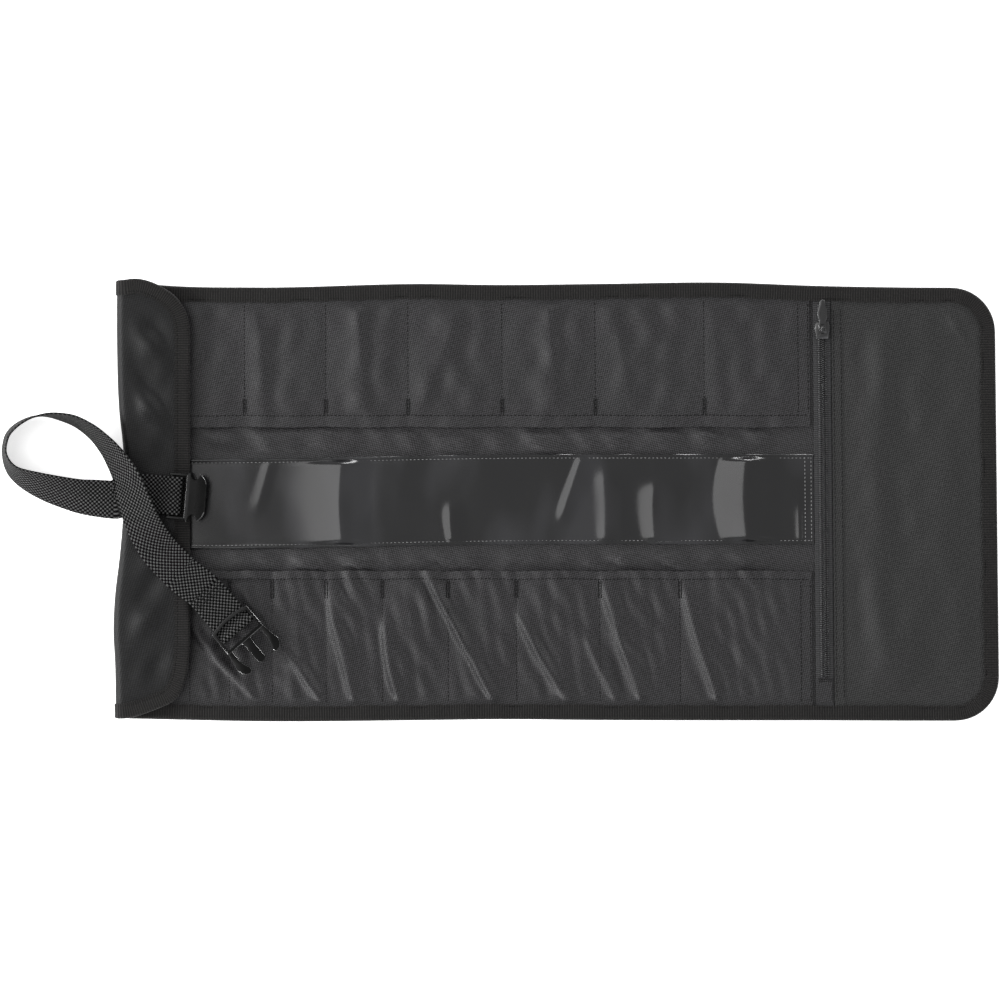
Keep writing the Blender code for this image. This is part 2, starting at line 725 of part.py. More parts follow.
def zip_span():
    """The lowest and highest places of the zip's tape, inside the binding."""
    return bottom_edge(ZIP_LINE, PANEL_INSET), top_edge(ZIP_LINE, PANEL_INSET)


def coil_span():
    """The ends of the zip's coil: past its stop at the bottom, and at the binding at the top."""
    low, high = zip_span()
    return BOTTOM_Y + COIL_BOTTOM_SHARE * BODY_WIDTH, high - BINDING_WIDTH - GAP


def make_zip():
    """The tape, the closed coil on it and the cloth patch below its stop."""
    low, high = zip_span()
    tape_width = ZIP_OPENING - 2 * GAP
    zip_strip("zip_tape", tape_width, low, high, PANEL_FLOOR, PACK_CLOTH)
    coil_low, coil_high = coil_span()
    base = PANEL_FLOOR + ZIP_TAPE + GAP
    zip_strip("zip_coil", COIL_WIDTH, coil_low, coil_high, base, MOULDED_PLASTIC, COIL_HEIGHT)
    patch_top = coil_low - GAP
    patch_low = max(patch_top - STOP_PATCH_LENGTH, low + BINDING_WIDTH + GAP)
    zip_strip("zip_stop_patch", STOP_PATCH_WIDTH, patch_low, patch_top, base, PACK_CLOTH)


def slider_plate_top():
    """The height of the slider's top plate."""
    return PANEL_FLOOR + ZIP_TAPE + GAP + COIL_HEIGHT + GAP + SLIDER_PLATE


def pull_axis():
    """The middle of the pull's pin: the hinge, across the zip."""
    return zip_point(0.0, SLIDER_Y, slider_plate_top() + GAP + PULL_PIN_RADIUS)


def make_slider():
    """The slider: a plate over the coil, a flange down each side, and a bridge for the pull."""
    top = slider_plate_top()
    under_plate = top - SLIDER_PLATE
    base = PANEL_FLOOR + ZIP_TAPE + GAP
    centre = pull_axis()
    half_length = SLIDER_LENGTH / 2
    wide, nose = SLIDER_WIDTH / 2, SLIDER_NOSE_WIDTH / 2
    outline = (
        (-nose, -half_length),
        (nose, -half_length),
        (wide, 0.0),
        (wide, half_length * 0.7),
        (wide * 0.55, half_length),
        (-wide * 0.55, half_length),
        (-wide, half_length * 0.7),
        (-wide, 0.0),
    )
    plan = [(centre.x + dx, centre.y + dy) for dx, dy in outline]
    slider = outline_solid("zip_slider", plan, base, top, PAINTED_METAL)
    channel = COIL_WIDTH / 2 + GAP
    tunnel = [
        (centre.x + dx, centre.y + dy)
        for dx, dy in (
            (-channel, -SLIDER_LENGTH),
            (channel, -SLIDER_LENGTH),
            (channel, SLIDER_LENGTH),
            (-channel, SLIDER_LENGTH),
        )
    ]
    cutter = outline_solid("tunnel", tunnel, base - SLIDER_PLATE, under_plate, PAINTED_METAL)
    cut_away(slider, cutter)
    reach = BRIDGE_REACH
    arch = PULL_PIN_RADIUS + GAP
    inner, outer = arch, arch + BRIDGE_THICKNESS
    foot = top - centre.z - SLIDER_PLATE / 2
    profile = [(-reach, foot), (-reach, inner * 0.6), (-reach * 0.55, outer)]
    profile += [(reach * 0.55, outer), (reach, inner * 0.6), (reach, foot)]
    profile += [(reach - BRIDGE_THICKNESS, foot), (reach - BRIDGE_THICKNESS, inner * 0.5)]
    profile += [(reach * 0.4, inner), (-reach * 0.4, inner)]
    profile += [(BRIDGE_THICKNESS - reach, inner * 0.5), (BRIDGE_THICKNESS - reach, foot)]
    sections = [
        [(centre.x + side * BRIDGE_WIDTH / 2, centre.y + dy, centre.z + dz) for dy, dz in profile]
        for side in (-1, 1)
    ]
    join_on(slider, swept_solid("bridge", sections, PAINTED_METAL))
    return slider


def make_pull():
    """The pull tab: a pin through the bridge, two arms and a tapered blade, lying flat."""
    centre = pull_axis()
    half = PULL_THICKNESS / 2
    eye_half = BRIDGE_WIDTH / 2 + GAP
    arm = eye_half + PULL_PIN_RADIUS * 1.8
    blade = PULL_WIDTH / 2
    outline = (
        (-arm, -PULL_PIN_RADIUS * 0.7),
        (arm, -PULL_PIN_RADIUS * 0.7),
        (arm, PULL_EYE),
        (blade, PULL_EYE + 0.004),
        (blade, PULL_LENGTH * 0.72),
        (blade * 0.62, PULL_LENGTH * 0.80),
        (blade * 0.62, PULL_LENGTH * 0.94),
        (blade * 0.35, PULL_LENGTH),
        (-blade * 0.35, PULL_LENGTH),
        (-blade * 0.62, PULL_LENGTH * 0.94),
        (-blade * 0.62, PULL_LENGTH * 0.80),
        (-blade, PULL_LENGTH * 0.72),
        (-blade, PULL_EYE + 0.004),
        (-arm, PULL_EYE),
    )
    plan = [(centre.x + dx, centre.y + dy) for dx, dy in outline]
    pull = outline_solid("zip_pull", plan, centre.z - half, centre.z + half, PAINTED_METAL)
    eye = (
        (-eye_half, PULL_PIN_RADIUS * 0.7),
        (eye_half, PULL_PIN_RADIUS * 0.7),
        (eye_half, PULL_EYE),
        (-eye_half, PULL_EYE),
    )
    plan = [(centre.x + dx, centre.y + dy) for dx, dy in eye]
    below, above = centre.z - PULL_THICKNESS, centre.z + PULL_THICKNESS
    cut_away(pull, outline_solid("eye", plan, below, above, PAINTED_METAL))
    return pull


# The strap and its buckle


def socket_origin():
    """The middle of the socket's bar in plan."""
    return FOLD_X + SOCKET_BAR_X, STRAP_Y + SOCKET_BAR_Y


def socket_bar_z():
    """The bar's height: the strap's lower layer clears the flap's binding as it turns there."""
    turn = SOCKET_BAR_RADIUS + LAYER_GAP + STRAP_THICKNESS
    return FLAP_TOP + GAP + BINDING_CLOTH * 0.7 + turn


def plug_origin():
    """The middle of the plug's back bar in plan."""
    return FOLD_X + PLUG_X, STRAP_Y + PLUG_Y


def plug_bar_z():
    """The plug's strap bar: the strap passes under it and back over it."""
    return SEAT_HEIGHT + STRAP_THICKNESS + LAYER_GAP + PLUG_BAR_RADIUS


def strap_side(heading, lean):
    """The direction across the strap: to the right of its heading, lifted by its lean."""
    angle, tilt = math.radians(heading), math.radians(lean)
    right = Vector((math.sin(angle), -math.cos(angle), 0.0))
    return right * math.cos(tilt) + Vector((0, 0, 1)) * math.sin(tilt)


def eased_route(rows):
    """A smooth curve through the loop's rows, as (point, direction across) pairs."""
    points = []
    for row in rows:
        x = FOLD_X + row.along * LOOP_REACH
        y = STRAP_Y + row.across * LOOP_REACH
        points.append((x, y, row.height * STRAP_WIDTH, row.heading, row.lean))
    route = []
    for k in range(len(points) - 1):
        p0, p1, p2 = points[max(k - 1, 0)], points[k], points[k + 1]
        p3 = points[min(k + 2, len(points) - 1)]
        for step in range(STRAP_SPANS):
            t = step / STRAP_SPANS
            values = [
                0.5 * (2 * b + (c - a) * t + (2 * a - 5 * b + 4 * c - d) * t * t
                       + (3 * b - a - 3 * c + d) * t ** 3)
                for a, b, c, d in zip(p0, p1, p2, p3)
            ]
            route.append((Vector(values[:3]), strap_side(values[3], values[4])))
    last = points[-1]
    route.append((Vector(last[:3]), strap_side(last[3], last[4])))
    return route


def wrap(origin, turn, offset, height, radius, side):
    """The strap's turn round a bar, from under it to over it."""
    points = []
    for k in range(WRAP_STEPS + 1):
        angle = -math.pi / 2 + math.pi * k / WRAP_STEPS
        along = offset + radius * math.cos(angle)
        point = turned(origin, turn, along, 0.0, height + radius * math.sin(angle))
        points.append((point, side))
    return points


def strap_route():
    """The whole strap: sewn end, turn at the socket, loop, turn at the plug, and tail."""
    half = STRAP_THICKNESS / 2
    sewn_z = FLAP_TOP + GAP + half
    origin = socket_origin()
    side = strap_side(180 + SOCKET_TURN, 0)
    bar_z = socket_bar_z()
    radius = SOCKET_BAR_RADIUS + LAYER_GAP + half
    route = [
        (turned(origin, SOCKET_TURN, -STUB_LENGTH, 0, sewn_z), side),
        (turned(origin, SOCKET_TURN, -STUB_LENGTH * 0.45, 0, sewn_z), side),
    ]
    route += wrap(origin, SOCKET_TURN, 0.0, bar_z, radius, side)
    over_z = sewn_z + STRAP_STEP
    step_down = over_z + (bar_z + radius - over_z) * 0.45
    route.append((turned(origin, SOCKET_TURN, -STUB_LENGTH * 0.25, 0, step_down), side))
    route.append((turned(origin, SOCKET_TURN, -STUB_LENGTH * 0.5, 0, over_z + LAYER_GAP), side))
    route.append((turned(origin, SOCKET_TURN, -STUB_LENGTH, 0, over_z + LAYER_GAP), side))
    settle = turned(origin, SOCKET_TURN, -STUB_LENGTH * 1.32, 0, sewn_z + STRAP_THICKNESS / 2)
    route.append((settle, strap_side(178, 2)))
    route += eased_route(LOOP_ROWS)
    origin = plug_origin()
    side = strap_side(PLUG_TURN, 180)
    bar_z = plug_bar_z()
    radius = PLUG_BAR_RADIUS + LAYER_GAP + half
    low = bar_z - radius
    tail_z = FLAP_BINDING_TOP + LAYER_GAP + half
    for share in (1.0, 0.5, 0.0):
        z = low + (tail_z - low) * share
        route.append((turned(origin, PLUG_TURN, -TAIL_LENGTH * share, 0, z), side))
    route += wrap(origin, PLUG_TURN, PLUG_BAR_OFFSET, bar_z, radius, side)
    inside = PLUG_BACK_BAR * 1.4
    route.append((turned(origin, PLUG_TURN, inside, 0, low + STRAP_STEP), side))
    for share in (0.0, 0.5, 1.0):
        z = low + (tail_z - low) * share + STRAP_STEP
        route.append((turned(origin, PLUG_TURN, -TAIL_LENGTH * share, 0, z), side))
    return route


def make_strap():
    """The webbing, one band from its sewn end to its tail."""
    route = strap_route()
    sections = []
    for k, (point, side) in enumerate(route):
        ahead = route[min(k + 1, len(route) - 1)][0] - route[max(k - 1, 0)][0]
        ahead.normalize()
        across = (side - ahead * side.dot(ahead)).normalized() * (STRAP_WIDTH / 2)
        through = ahead.cross(across).normalized() * (STRAP_THICKNESS / 2)
        sections.append(
            [
                point - across - through,
                point + across - through,
                point + across + through,
                point - across + through,
            ]
        )
    return swept_solid("strap", sections, WEBBING)


def bar_between(name, first, second, radius, finish, sides=10):
    """A round bar between two points."""
    axis = (second - first).normalized()
    up = Vector((0, 0, 1))
    side = axis.cross(up).normalized()
    sections = []
    for end in (first, second):
        ring = []
        for k in range(sides):
            angle = 2 * math.pi * k / sides
            ring.append(end + side * radius * math.cos(angle) + up * radius * math.sin(angle))
        sections.append(ring)
    return swept_solid(name, sections, finish)


def plate(name, origin, turn, outline, bottom, top):
    """A flat plate whose outline is given along and to the left of a direction."""
    points = []
    for along, sideways in outline:
        point = turned(origin, turn, along, sideways, 0.0)
        points.append((point.x, point.y))
    return outline_solid(name, points, bottom, top, MOULDED_PLASTIC)


def both_sides(outline):
    """An outline of which one half is given, closed by its mirror image."""
    return list(outline) + [(along, -sideways) for along, sideways in reversed(outline)]


def make_socket():
    """The socket: a hollow body open at its mouth and sides, and a bar for the strap."""
    origin = socket_origin()
    bar_z = socket_bar_z()
    half = SOCKET_BODY_WIDTH / 2
    frame = BUCKLE_WIDTH / 2
    start, end = SOCKET_FRAME_LENGTH, SOCKET_FRAME_LENGTH + SOCKET_BODY_LENGTH
    bottom = FLAP_BINDING_TOP + LAYER_GAP
    top = bottom + SOCKET_BODY_HEIGHT
    rounding = [
        (
            end - SOCKET_CORNER + SOCKET_CORNER * math.sin(math.pi / 2 * k / 5),
            half - SOCKET_CORNER + SOCKET_CORNER * math.cos(math.pi / 2 * k / 5),
        )
        for k in range(6)
    ]
    outline = both_sides([(start, frame), (start + SOCKET_WALL * 2, half)] + rounding)
    socket = plate("buckle_socket", origin, SOCKET_TURN, outline, bottom, top)
    middle = (bottom + top) / 2
    inside = half - SOCKET_WALL * 1.6
    low, high = middle - SOCKET_MOUTH_HEIGHT / 2, middle + SOCKET_MOUTH_HEIGHT / 2
    back = start + SOCKET_WALL
    hollow = both_sides([(back, inside * 0.86), (end + SOCKET_WALL, inside * 0.86)])
    cut_away(socket, plate("hollow", origin, SOCKET_TURN, hollow, low, high))
    catch = both_sides([(back + SOCKET_WALL, half * 2), (end - SOCKET_CORNER * 0.8, half * 2)])
    cut_away(socket, plate("catch", origin, SOCKET_TURN, catch, low + GAP, high - GAP))
    arm_low, arm_high = bar_z - SOCKET_BAR_RADIUS, bar_z + SOCKET_BAR_RADIUS
    for side in (-1, 1):
        arm = [
            (-SOCKET_BAR_RADIUS * 1.2, side * (frame - SIDE_BAR)),
            (-SOCKET_BAR_RADIUS * 1.2, side * (frame - GAP)),
            (start + SOCKET_WALL / 2, side * (frame - GAP)),
            (start + SOCKET_WALL / 2, side * (frame - SIDE_BAR)),
        ]
        join_on(socket, plate("arm", origin, SOCKET_TURN, arm, arm_low - GAP, arm_high + GAP))
    reach = frame - SIDE_BAR / 2
    first = turned(origin, SOCKET_TURN, 0, -reach, bar_z)
    second = turned(origin, SOCKET_TURN, 0, reach, bar_z)
    join_on(socket, bar_between("bar", first, second, SOCKET_BAR_RADIUS, MOULDED_PLASTIC))
    return socket


def arched_back(inner):
    """Plan points of the plug's bowed back bar, from one side to the other."""
    half = BUCKLE_WIDTH / 2 - (SIDE_BAR if inner else 0.0)
    shift = PLUG_BACK_BAR if inner else 0.0
    points = []
    for k in range(9):
        place = -1 + 2 * k / 8
        points.append((shift - PLUG_ARCH * (1 - place * place), place * half))
    return points


def make_plug():
    """The plug: a frame with two bars for the strap, two springy prongs and a guide."""
    origin = plug_origin()
    bar_z = plug_bar_z()
    half = BUCKLE_WIDTH / 2
    tail_top = bar_z - PLUG_BAR_RADIUS - LAYER_GAP + STRAP_STEP
    back_low = tail_top + LAYER_GAP * 1.5
    frame_low = back_low - PLUG_HEIGHT * 0.55
    frame_high = frame_low + PLUG_HEIGHT
    front = PLUG_FRAME_LENGTH
    outer = arched_back(False) + [(front + PLUG_BRIDGE, half), (front + PLUG_BRIDGE, -half)]
    plug = plate("buckle_plug", origin, PLUG_TURN, outer, frame_low, frame_high)
    inner = arched_back(True) + [(front, half - SIDE_BAR), (front, SIDE_BAR - half)]
    window = plate("window", origin, PLUG_TURN, inner, frame_low - GAP, frame_high + GAP)
    cut_away(plug, window)
    clear = half - SIDE_BAR + GAP
    under = [(-PLUG_ARCH * 2, -clear), (PLUG_BACK_BAR * 1.5, -clear)]
    under += [(PLUG_BACK_BAR * 1.5, clear), (-PLUG_ARCH * 2, clear)]
    cut_away(plug, plate("under", origin, PLUG_TURN, under, frame_low - GAP, back_low))
    reach = half - SIDE_BAR / 2
    first = turned(origin, PLUG_TURN, PLUG_BAR_OFFSET, -reach, bar_z)
    second = turned(origin, PLUG_TURN, PLUG_BAR_OFFSET, reach, bar_z)
    join_on(plug, bar_between("bar", first, second, PLUG_BAR_RADIUS, MOULDED_PLASTIC))
    prong_low = (frame_low + frame_high - PRONG_THICKNESS) / 2
    prong_high = prong_low + PRONG_THICKNESS
    root, tip = front + PLUG_BRIDGE / 2, front + PRONG_LENGTH
    for side in (-1, 1):
        prong = [
            (root, half - GAP),
            (front + PRONG_LENGTH * 0.42, half + SIDE_BAR * 0.5),
            (front + PRONG_LENGTH * 0.62, half + SIDE_BAR * 1.0),
            (front + PRONG_LENGTH * 0.84, half + SIDE_BAR * 0.5),
            (front + PRONG_LENGTH * 0.95, half - SIDE_BAR * 0.5),
            (tip, half - PRONG_LOBE * 0.45),
            (front + PRONG_LENGTH * 0.97, half - PRONG_LOBE * 0.75),
            (front + PRONG_LENGTH * 0.86, half - PRONG_LOBE * 0.85),
            (front + PRONG_LENGTH * 0.66, half - PRONG_LOBE * 0.62),
            (front + PRONG_LENGTH * 0.50, half - PRONG_WIDTH),
            (root, half - PRONG_WIDTH),
        ]
        outline = [(along, side * sideways) for along, sideways in prong]
        join_on(plug, plate("prong", origin, PLUG_TURN, outline, prong_low, prong_high))
    guide = both_sides(
        [
            (root, GUIDE_WIDTH * 0.62),
            (front + PLUG_BRIDGE * 2, GUIDE_WIDTH / 2),
            (front + GUIDE_LENGTH * 0.9, GUIDE_WIDTH / 2),
            (front + GUIDE_LENGTH, GUIDE_WIDTH * 0.3),
        ]
    )
    thin = PRONG_THICKNESS * 0.12
    join_on(plug, plate("guide", origin, PLUG_TURN, guide, prong_low + thin, prong_high - thin))
    return plug


def main():
    """Clears the scene and builds every piece of the bag."""
    for item in list(bpy.data.objects):
        bpy.data.objects.remove(item, do_unlink=True)
    rows = shell_rows()
    make_shell(rows)
    make_binding(rows)
    make_pocket_row("upper_pocket_row", UPPER_POCKETS, UPPER_RIDGES, UPPER_MOUTH_Y, top_edge)
    make_pocket_row("lower_pocket_row", LOWER_POCKETS, LOWER_RIDGES, LOWER_MOUTH_Y, bottom_edge)
    make_window()
    make_zip_panel()
    make_zip()
    make_slider()
    make_pull()
    make_strap()
    make_socket()
    make_plug()


main()
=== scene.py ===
"""Dresses an opened roll-up tool bag: its cloths, edge tape, clear window, zip, strap and buckle."""

from __future__ import annotations

import logging
import math
from dataclasses import dataclass, field
from enum import Enum
from functools import cached_property, partial
from typing import Callable

import bmesh
import bpy
import numpy as np
from bpy.types import Material, Node, NodeSocket, NodeTree, Object
from mathutils import Matrix, Vector

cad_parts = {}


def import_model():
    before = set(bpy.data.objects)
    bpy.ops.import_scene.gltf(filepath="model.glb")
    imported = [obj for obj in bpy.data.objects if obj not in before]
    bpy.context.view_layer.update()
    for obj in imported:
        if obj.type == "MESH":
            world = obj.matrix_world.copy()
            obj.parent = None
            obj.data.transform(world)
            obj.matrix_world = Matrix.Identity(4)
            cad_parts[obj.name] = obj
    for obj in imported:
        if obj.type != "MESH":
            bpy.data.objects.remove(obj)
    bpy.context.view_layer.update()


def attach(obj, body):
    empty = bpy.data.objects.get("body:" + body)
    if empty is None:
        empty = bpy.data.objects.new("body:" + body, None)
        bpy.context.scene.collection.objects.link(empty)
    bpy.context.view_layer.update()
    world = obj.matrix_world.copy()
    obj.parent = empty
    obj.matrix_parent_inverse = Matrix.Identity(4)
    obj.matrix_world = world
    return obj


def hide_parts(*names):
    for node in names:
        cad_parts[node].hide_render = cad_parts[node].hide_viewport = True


log = logging.getLogger("tool_bag")
MM = 0.001
RIPPLE_WAVES = 14
RIPPLE_LEVEL = 4.5
BAG = "bag"
PULL = "zip_pull"
Array = np.ndarray
Outline = list[tuple[float, float]]


class Slot(Enum):
    """The record's material slots."""

    FLAP_CLOTH = "flap_cloth"
    POCKET_CLOTH = "pocket_cloth"
    BINDING = "binding_tape"
    WEBBING = "webbing"
    FILM = "clear_film"
    ZIP_CLOTH = "zip_cloth"
    ZIP_PLASTIC = "zip_plastic"
    ZIP_METAL = "zip_metal"
    BUCKLE = "buckle_plastic"


class Hold(Enum):
    """How a sheet of cloth is kept in its place."""

    FOLDED = "folded"
    STRETCHED = "stretched"


# Numbers and curves


def linear(hex_code: str) -> tuple[float, float, float, float]:
    """Turns an sRGB colour to the linear values a shader takes.

    Args:
        hex_code: six hex digits, such as "3c3c3e".

    Returns:
        Red, green, blue and alpha.
    """
    shares = [int(hex_code[k : k + 2], 16) / 255 for k in (0, 2, 4)]
    red, green, blue = [s / 12.92 if s <= 0.04045 else ((s + 0.055) / 1.055) ** 2.4 for s in shares]
    return red, green, blue, 1.0


def ramp(value: Array | float) -> Array:
    """0 below 0, 1 above 1, and eased between them."""
    value = np.clip(value, 0.0, 1.0)
    return value * value * (3 - 2 * value)


def curve(places: Array, values: Array, where: Array) -> Array:
    """A smooth curve through a table's points.

    Args:
        places: where the points lie, rising.
        values: the height of each point.
        where: the places to read it at.

    Returns:
        The curve's heights.
    """
    slopes = np.gradient(values, places)
    where = np.clip(where, places[0], places[-1])
    k = np.clip(np.searchsorted(places, where, side="right") - 1, 0, len(places) - 2)
    span = places[k + 1] - places[k]
    t = (where - places[k]) / span
    rise = (1 + 2 * t) * (1 - t) ** 2 * values[k] + t * (1 - t) ** 2 * span * slopes[k]
    return rise + t * t * (3 - 2 * t) * values[k + 1] + t * t * (t - 1) * span * slopes[k + 1]


def between(t: float, a: float, b: float, c: float, d: float) -> float:
    """A value between b and c, on a smooth curve through four values."""
    slope, bend, twist = c - a, 2 * a - 5 * b + 4 * c - d, 3 * b - a - 3 * c + d
    return 0.5 * (2 * b + slope * t + bend * t * t + twist * t**3)


def ripple(x: Array, y: Array, length: float, seed: int, stretch: float = 1.0) -> Array:
    """Soft random waves, about 1 high.

    Args:
        x: places along the bag.
        y: places across it.
        length: the waves' usual length, in metres.
        seed: picks the pattern.
        stretch: how many times longer the waves are across the bag than along it.

    Returns:
        The waves' heights.
    """
    chance = np.random.default_rng(seed)
    total = np.zeros(np.broadcast(x, y).shape)
    for _ in range(RIPPLE_WAVES):
        angle, phase = chance.uniform(0, math.tau, 2)
        pace = math.tau / (length * chance.uniform(0.6, 1.9))
        total += np.sin(pace * (x * math.cos(angle) + y * math.sin(angle) / stretch) + phase)
    return total / RIPPLE_LEVEL


def unit(vectors: Array) -> Array:
    """Directions of length 1."""
    return vectors / np.maximum(np.linalg.norm(vectors, axis=-1, keepdims=True), 1e-12)


def normals(middle: Array) -> Array:
    """The direction out of each point of a grid, from its rows and columns."""
    return unit(np.cross(np.gradient(middle, axis=0), np.gradient(middle, axis=1)))


def stacked(*parts: Array | float) -> Array:
    """Points whose coordinates come from arrays of matching shapes, or single values."""
    return np.stack(np.broadcast_arrays(*parts), -1)


def run_along(line: Array) -> Array:
    """The distance of each point along a line of points."""
    return np.concatenate([[0.0], np.cumsum(np.linalg.norm(np.diff(line, axis=0), axis=1))])


def smoothed(line: Array, times: int) -> Array:
    """Draws all but the ends of a line of points towards their neighbours.

    Args:
        line: the points.
        times: how many times it is done.

    Returns:
        The same line.
    """
    for _ in range(times):
        line[1:-1] = (line[:-2] + line[1:-1] * 2 + line[2:]) / 4
    return line


def resampled(line: Array, step: float, closed: bool = False) -> Array:
    """Points at even distances along a line of points.

    Args:
        line: the points, with any further columns carried along.
        step: the distance wanted between points.
        closed: True if the last point joins the first.

    Returns:
        The even points.
    """
    if closed:
        line = np.vstack([line, line[:1]])
    run = run_along(line[:, :3])
    count = max(2, int(round(run[-1] / step)))
    wanted = np.linspace(0, run[-1], count + 1)
    if closed:
        wanted = wanted[:-1]
    return np.stack([np.interp(wanted, run, line[:, k]) for k in range(line.shape[1])], axis=1)


# Materials


def feed(node: Node, links: dict) -> None:
    """Sets a node's inputs.

    Args:
        node: the node.
        links: input name or number to a value, to an output, or to a node whose first output feeds it.
    """
    for name, source in links.items():
        if isinstance(source, Node):
            source = source.outputs[0]
        if isinstance(source, NodeSocket):
            node.id_data.links.new(source, node.inputs[name])
        else:
            node.inputs[name].default_value = source


def add_node(tree: NodeTree, kind: str, links: dict | None = None, **settings: str) -> Node:
    """Adds a node with its settings, values and links.

    Args:
        tree: the material's nodes.
        kind: the node's type.
        links: its inputs, as feed takes them.
        settings: the node's own properties.

    Returns:
        The node.
    """
    node = tree.nodes.new(kind)
    for name, value in settings.items():
        setattr(node, name, value)
    feed(node, links or {})
    return node


def blank_material(name: str) -> tuple[Material, NodeTree, Node]:
    """Starts a material with only its shader and output.

    Args:
        name: the material's name.

    Returns:
        The material, its nodes and its shader.
    """
    material = bpy.data.materials.new(name)
    material.use_nodes = True
    tree = material.node_tree
    tree.nodes.clear()
    shader = add_node(tree, "ShaderNodeBsdfPrincipled")
    add_node(tree, "ShaderNodeOutputMaterial", {"Surface": shader})
    return material, tree, shader


def cloth_place(tree: NodeTree) -> tuple[NodeSocket, NodeSocket, NodeSocket]:
    """Reads the place on the flat cloth, in metres.

    Args:
        tree: the material's nodes.

    Returns:
        The place as one vector, and how far across and along the cloth it is.
    """
    flat = add_node(tree, "ShaderNodeUVMap", uv_map="Cloth").outputs[0]
    axes = add_node(tree, "ShaderNodeSeparateXYZ", {0: flat})
    return flat, axes.outputs[0], axes.outputs[1]


def wave_of(tree: NodeTree, place: Node | NodeSocket, period: float) -> Node:
    """The sine of a length, one full wave for each period in metres."""
    turn = add_node(tree, "ShaderNodeMath", {0: place, 1: math.tau / period}, operation="MULTIPLY")
    return add_node(tree, "ShaderNodeMath", {0: turn}, operation="SINE")


@dataclass(frozen=True)
class WovenPolyester:
    """Coated polyester oxford: fine slanting ribs broken by the threads across, dull, with a faint sheen.

    The real ribs are about 0.7 mm apart, too fine to show here: they are drawn 1.7 mm apart, and the
    breaks along each rib 2.9 mm apart.
    """

    name: str
    dark: str
    light: str
    rib: float = 1.7 * MM
    breaks: float = 2.9 * MM
    roughness: float = 0.5
    sheen: float = 0.035
    gloss: float = 0.29
    weave_depth: float = 0.5

    @cached_property
    def material(self) -> Material:
        """Builds the material on the piece's own flat cloth coordinates.

        Returns:
            The material.
        """
        material, tree, shader = blank_material(self.name)
        flat, across, length = cloth_place(tree)
        slant = add_node(tree, "ShaderNodeMath", {0: across, 1: length}, operation="SUBTRACT")
        cross = add_node(tree, "ShaderNodeMath", {0: across, 1: length}, operation="ADD")
        warp = wave_of(tree, slant, self.rib * math.sqrt(2))
        weft = wave_of(tree, cross, self.breaks * math.sqrt(2))
        weave = add_node(tree, "ShaderNodeMath", {0: warp, 1: weft}, operation="MULTIPLY")
        slub = add_node(tree, "ShaderNodeTexNoise", {"Vector": flat, "Scale": 520.0, "Detail": 1.0})
        cloud = add_node(tree, "ShaderNodeTexNoise", {"Vector": flat, "Scale": 22.0, "Detail": 4.0})
        # The colour follows the weave's relief: painted shade between the threads and a painted highlight
        # on them. Fine flecks and broad clouds of tone vary it at random.
        weave_shade_and_tone = add_node(tree, "ShaderNodeMath", {0: weave, 1: 1.2, 2: -0.5}, operation="MULTIPLY_ADD")
        for spots, share in ((slub, 1.6), (cloud, 0.28)):
            weave_shade_and_tone = add_node(tree, "ShaderNodeMath", {0: spots, 1: share, 2: weave_shade_and_tone}, operation="MULTIPLY_ADD")
        colours = {0: weave_shade_and_tone, 6: linear(self.dark), 7: linear(self.light)}
        shade = add_node(tree, "ShaderNodeMix", colours, data_type="RGBA")
        relief = {"Height": weave, "Strength": self.weave_depth, "Distance": 0.12 * MM}
        inputs = {
            "Base Color": shade.outputs[2],
            "Normal": add_node(tree, "ShaderNodeBump", relief),
            "Roughness": self.roughness,
            "IOR": 1.5,
            "Specular IOR Level": self.gloss,
            "Sheen Weight": self.sheen,
            "Sheen Roughness": 0.45,
        }
        feed(shader, inputs)
        return material


@dataclass(frozen=True)
class RibbedTape:
    """Grosgrain polyester tape or heavy webbing: raised ribs across it, broken by its warp."""

    name: str
    dark: str
    light: str
    rib: float
    warp: float
    depth: float
    checked: bool
    roughness: float = 0.7
    gloss: float = 0.21
    sheen: float = 0.05

    @cached_property
    def material(self) -> Material:
        """Builds the material on coordinates across (U) and along (V) the tape.

        Returns:
            The material.
        """
        material, tree, shader = blank_material(self.name)
        flat, across, length = cloth_place(tree)
        ribs, yarns = wave_of(tree, length, self.rib), wave_of(tree, across, self.warp)
        if self.checked:
            low, pattern = -0.3, add_node(tree, "ShaderNodeMath", {0: ribs, 1: yarns}, operation="MULTIPLY")
        else:
            mixed = {0: yarns, 1: 0.3, 2: ribs}
            low, pattern = -0.5, add_node(tree, "ShaderNodeMath", mixed, operation="MULTIPLY_ADD")
        ends = {0: pattern, 1: low, 2: 0.75, 3: 0.0, 4: 1.0}
        raised = add_node(tree, "ShaderNodeMapRange", ends, interpolation_type="SMOOTHSTEP")
        # The colour is lighter on the raised ribs and darker between them: painted highlight and painted
        # shade, flecked by the fuzz noise.
        fuzz = add_node(tree, "ShaderNodeTexNoise", {"Vector": flat, "Scale": 700.0, "Detail": 3.0})
        rib_highlight = add_node(tree, "ShaderNodeMath", {0: fuzz, 1: raised}, operation="MULTIPLY")
        lift = add_node(tree, "ShaderNodeMath", {0: rib_highlight, 1: 1.7}, operation="MULTIPLY")
        colours = {0: lift, 6: linear(self.dark), 7: linear(self.light)}
        shade = add_node(tree, "ShaderNodeMix", colours, data_type="RGBA")
        relief = {"Height": raised, "Strength": 0.8, "Distance": self.depth}
        inputs = {
            "Base Color": shade.outputs[2],
            "Normal": add_node(tree, "ShaderNodeBump", relief),
            "Roughness": self.roughness,
            "Specular IOR Level": self.gloss,
            "Sheen Weight": self.sheen,
        }
        feed(shader, inputs)
        return material


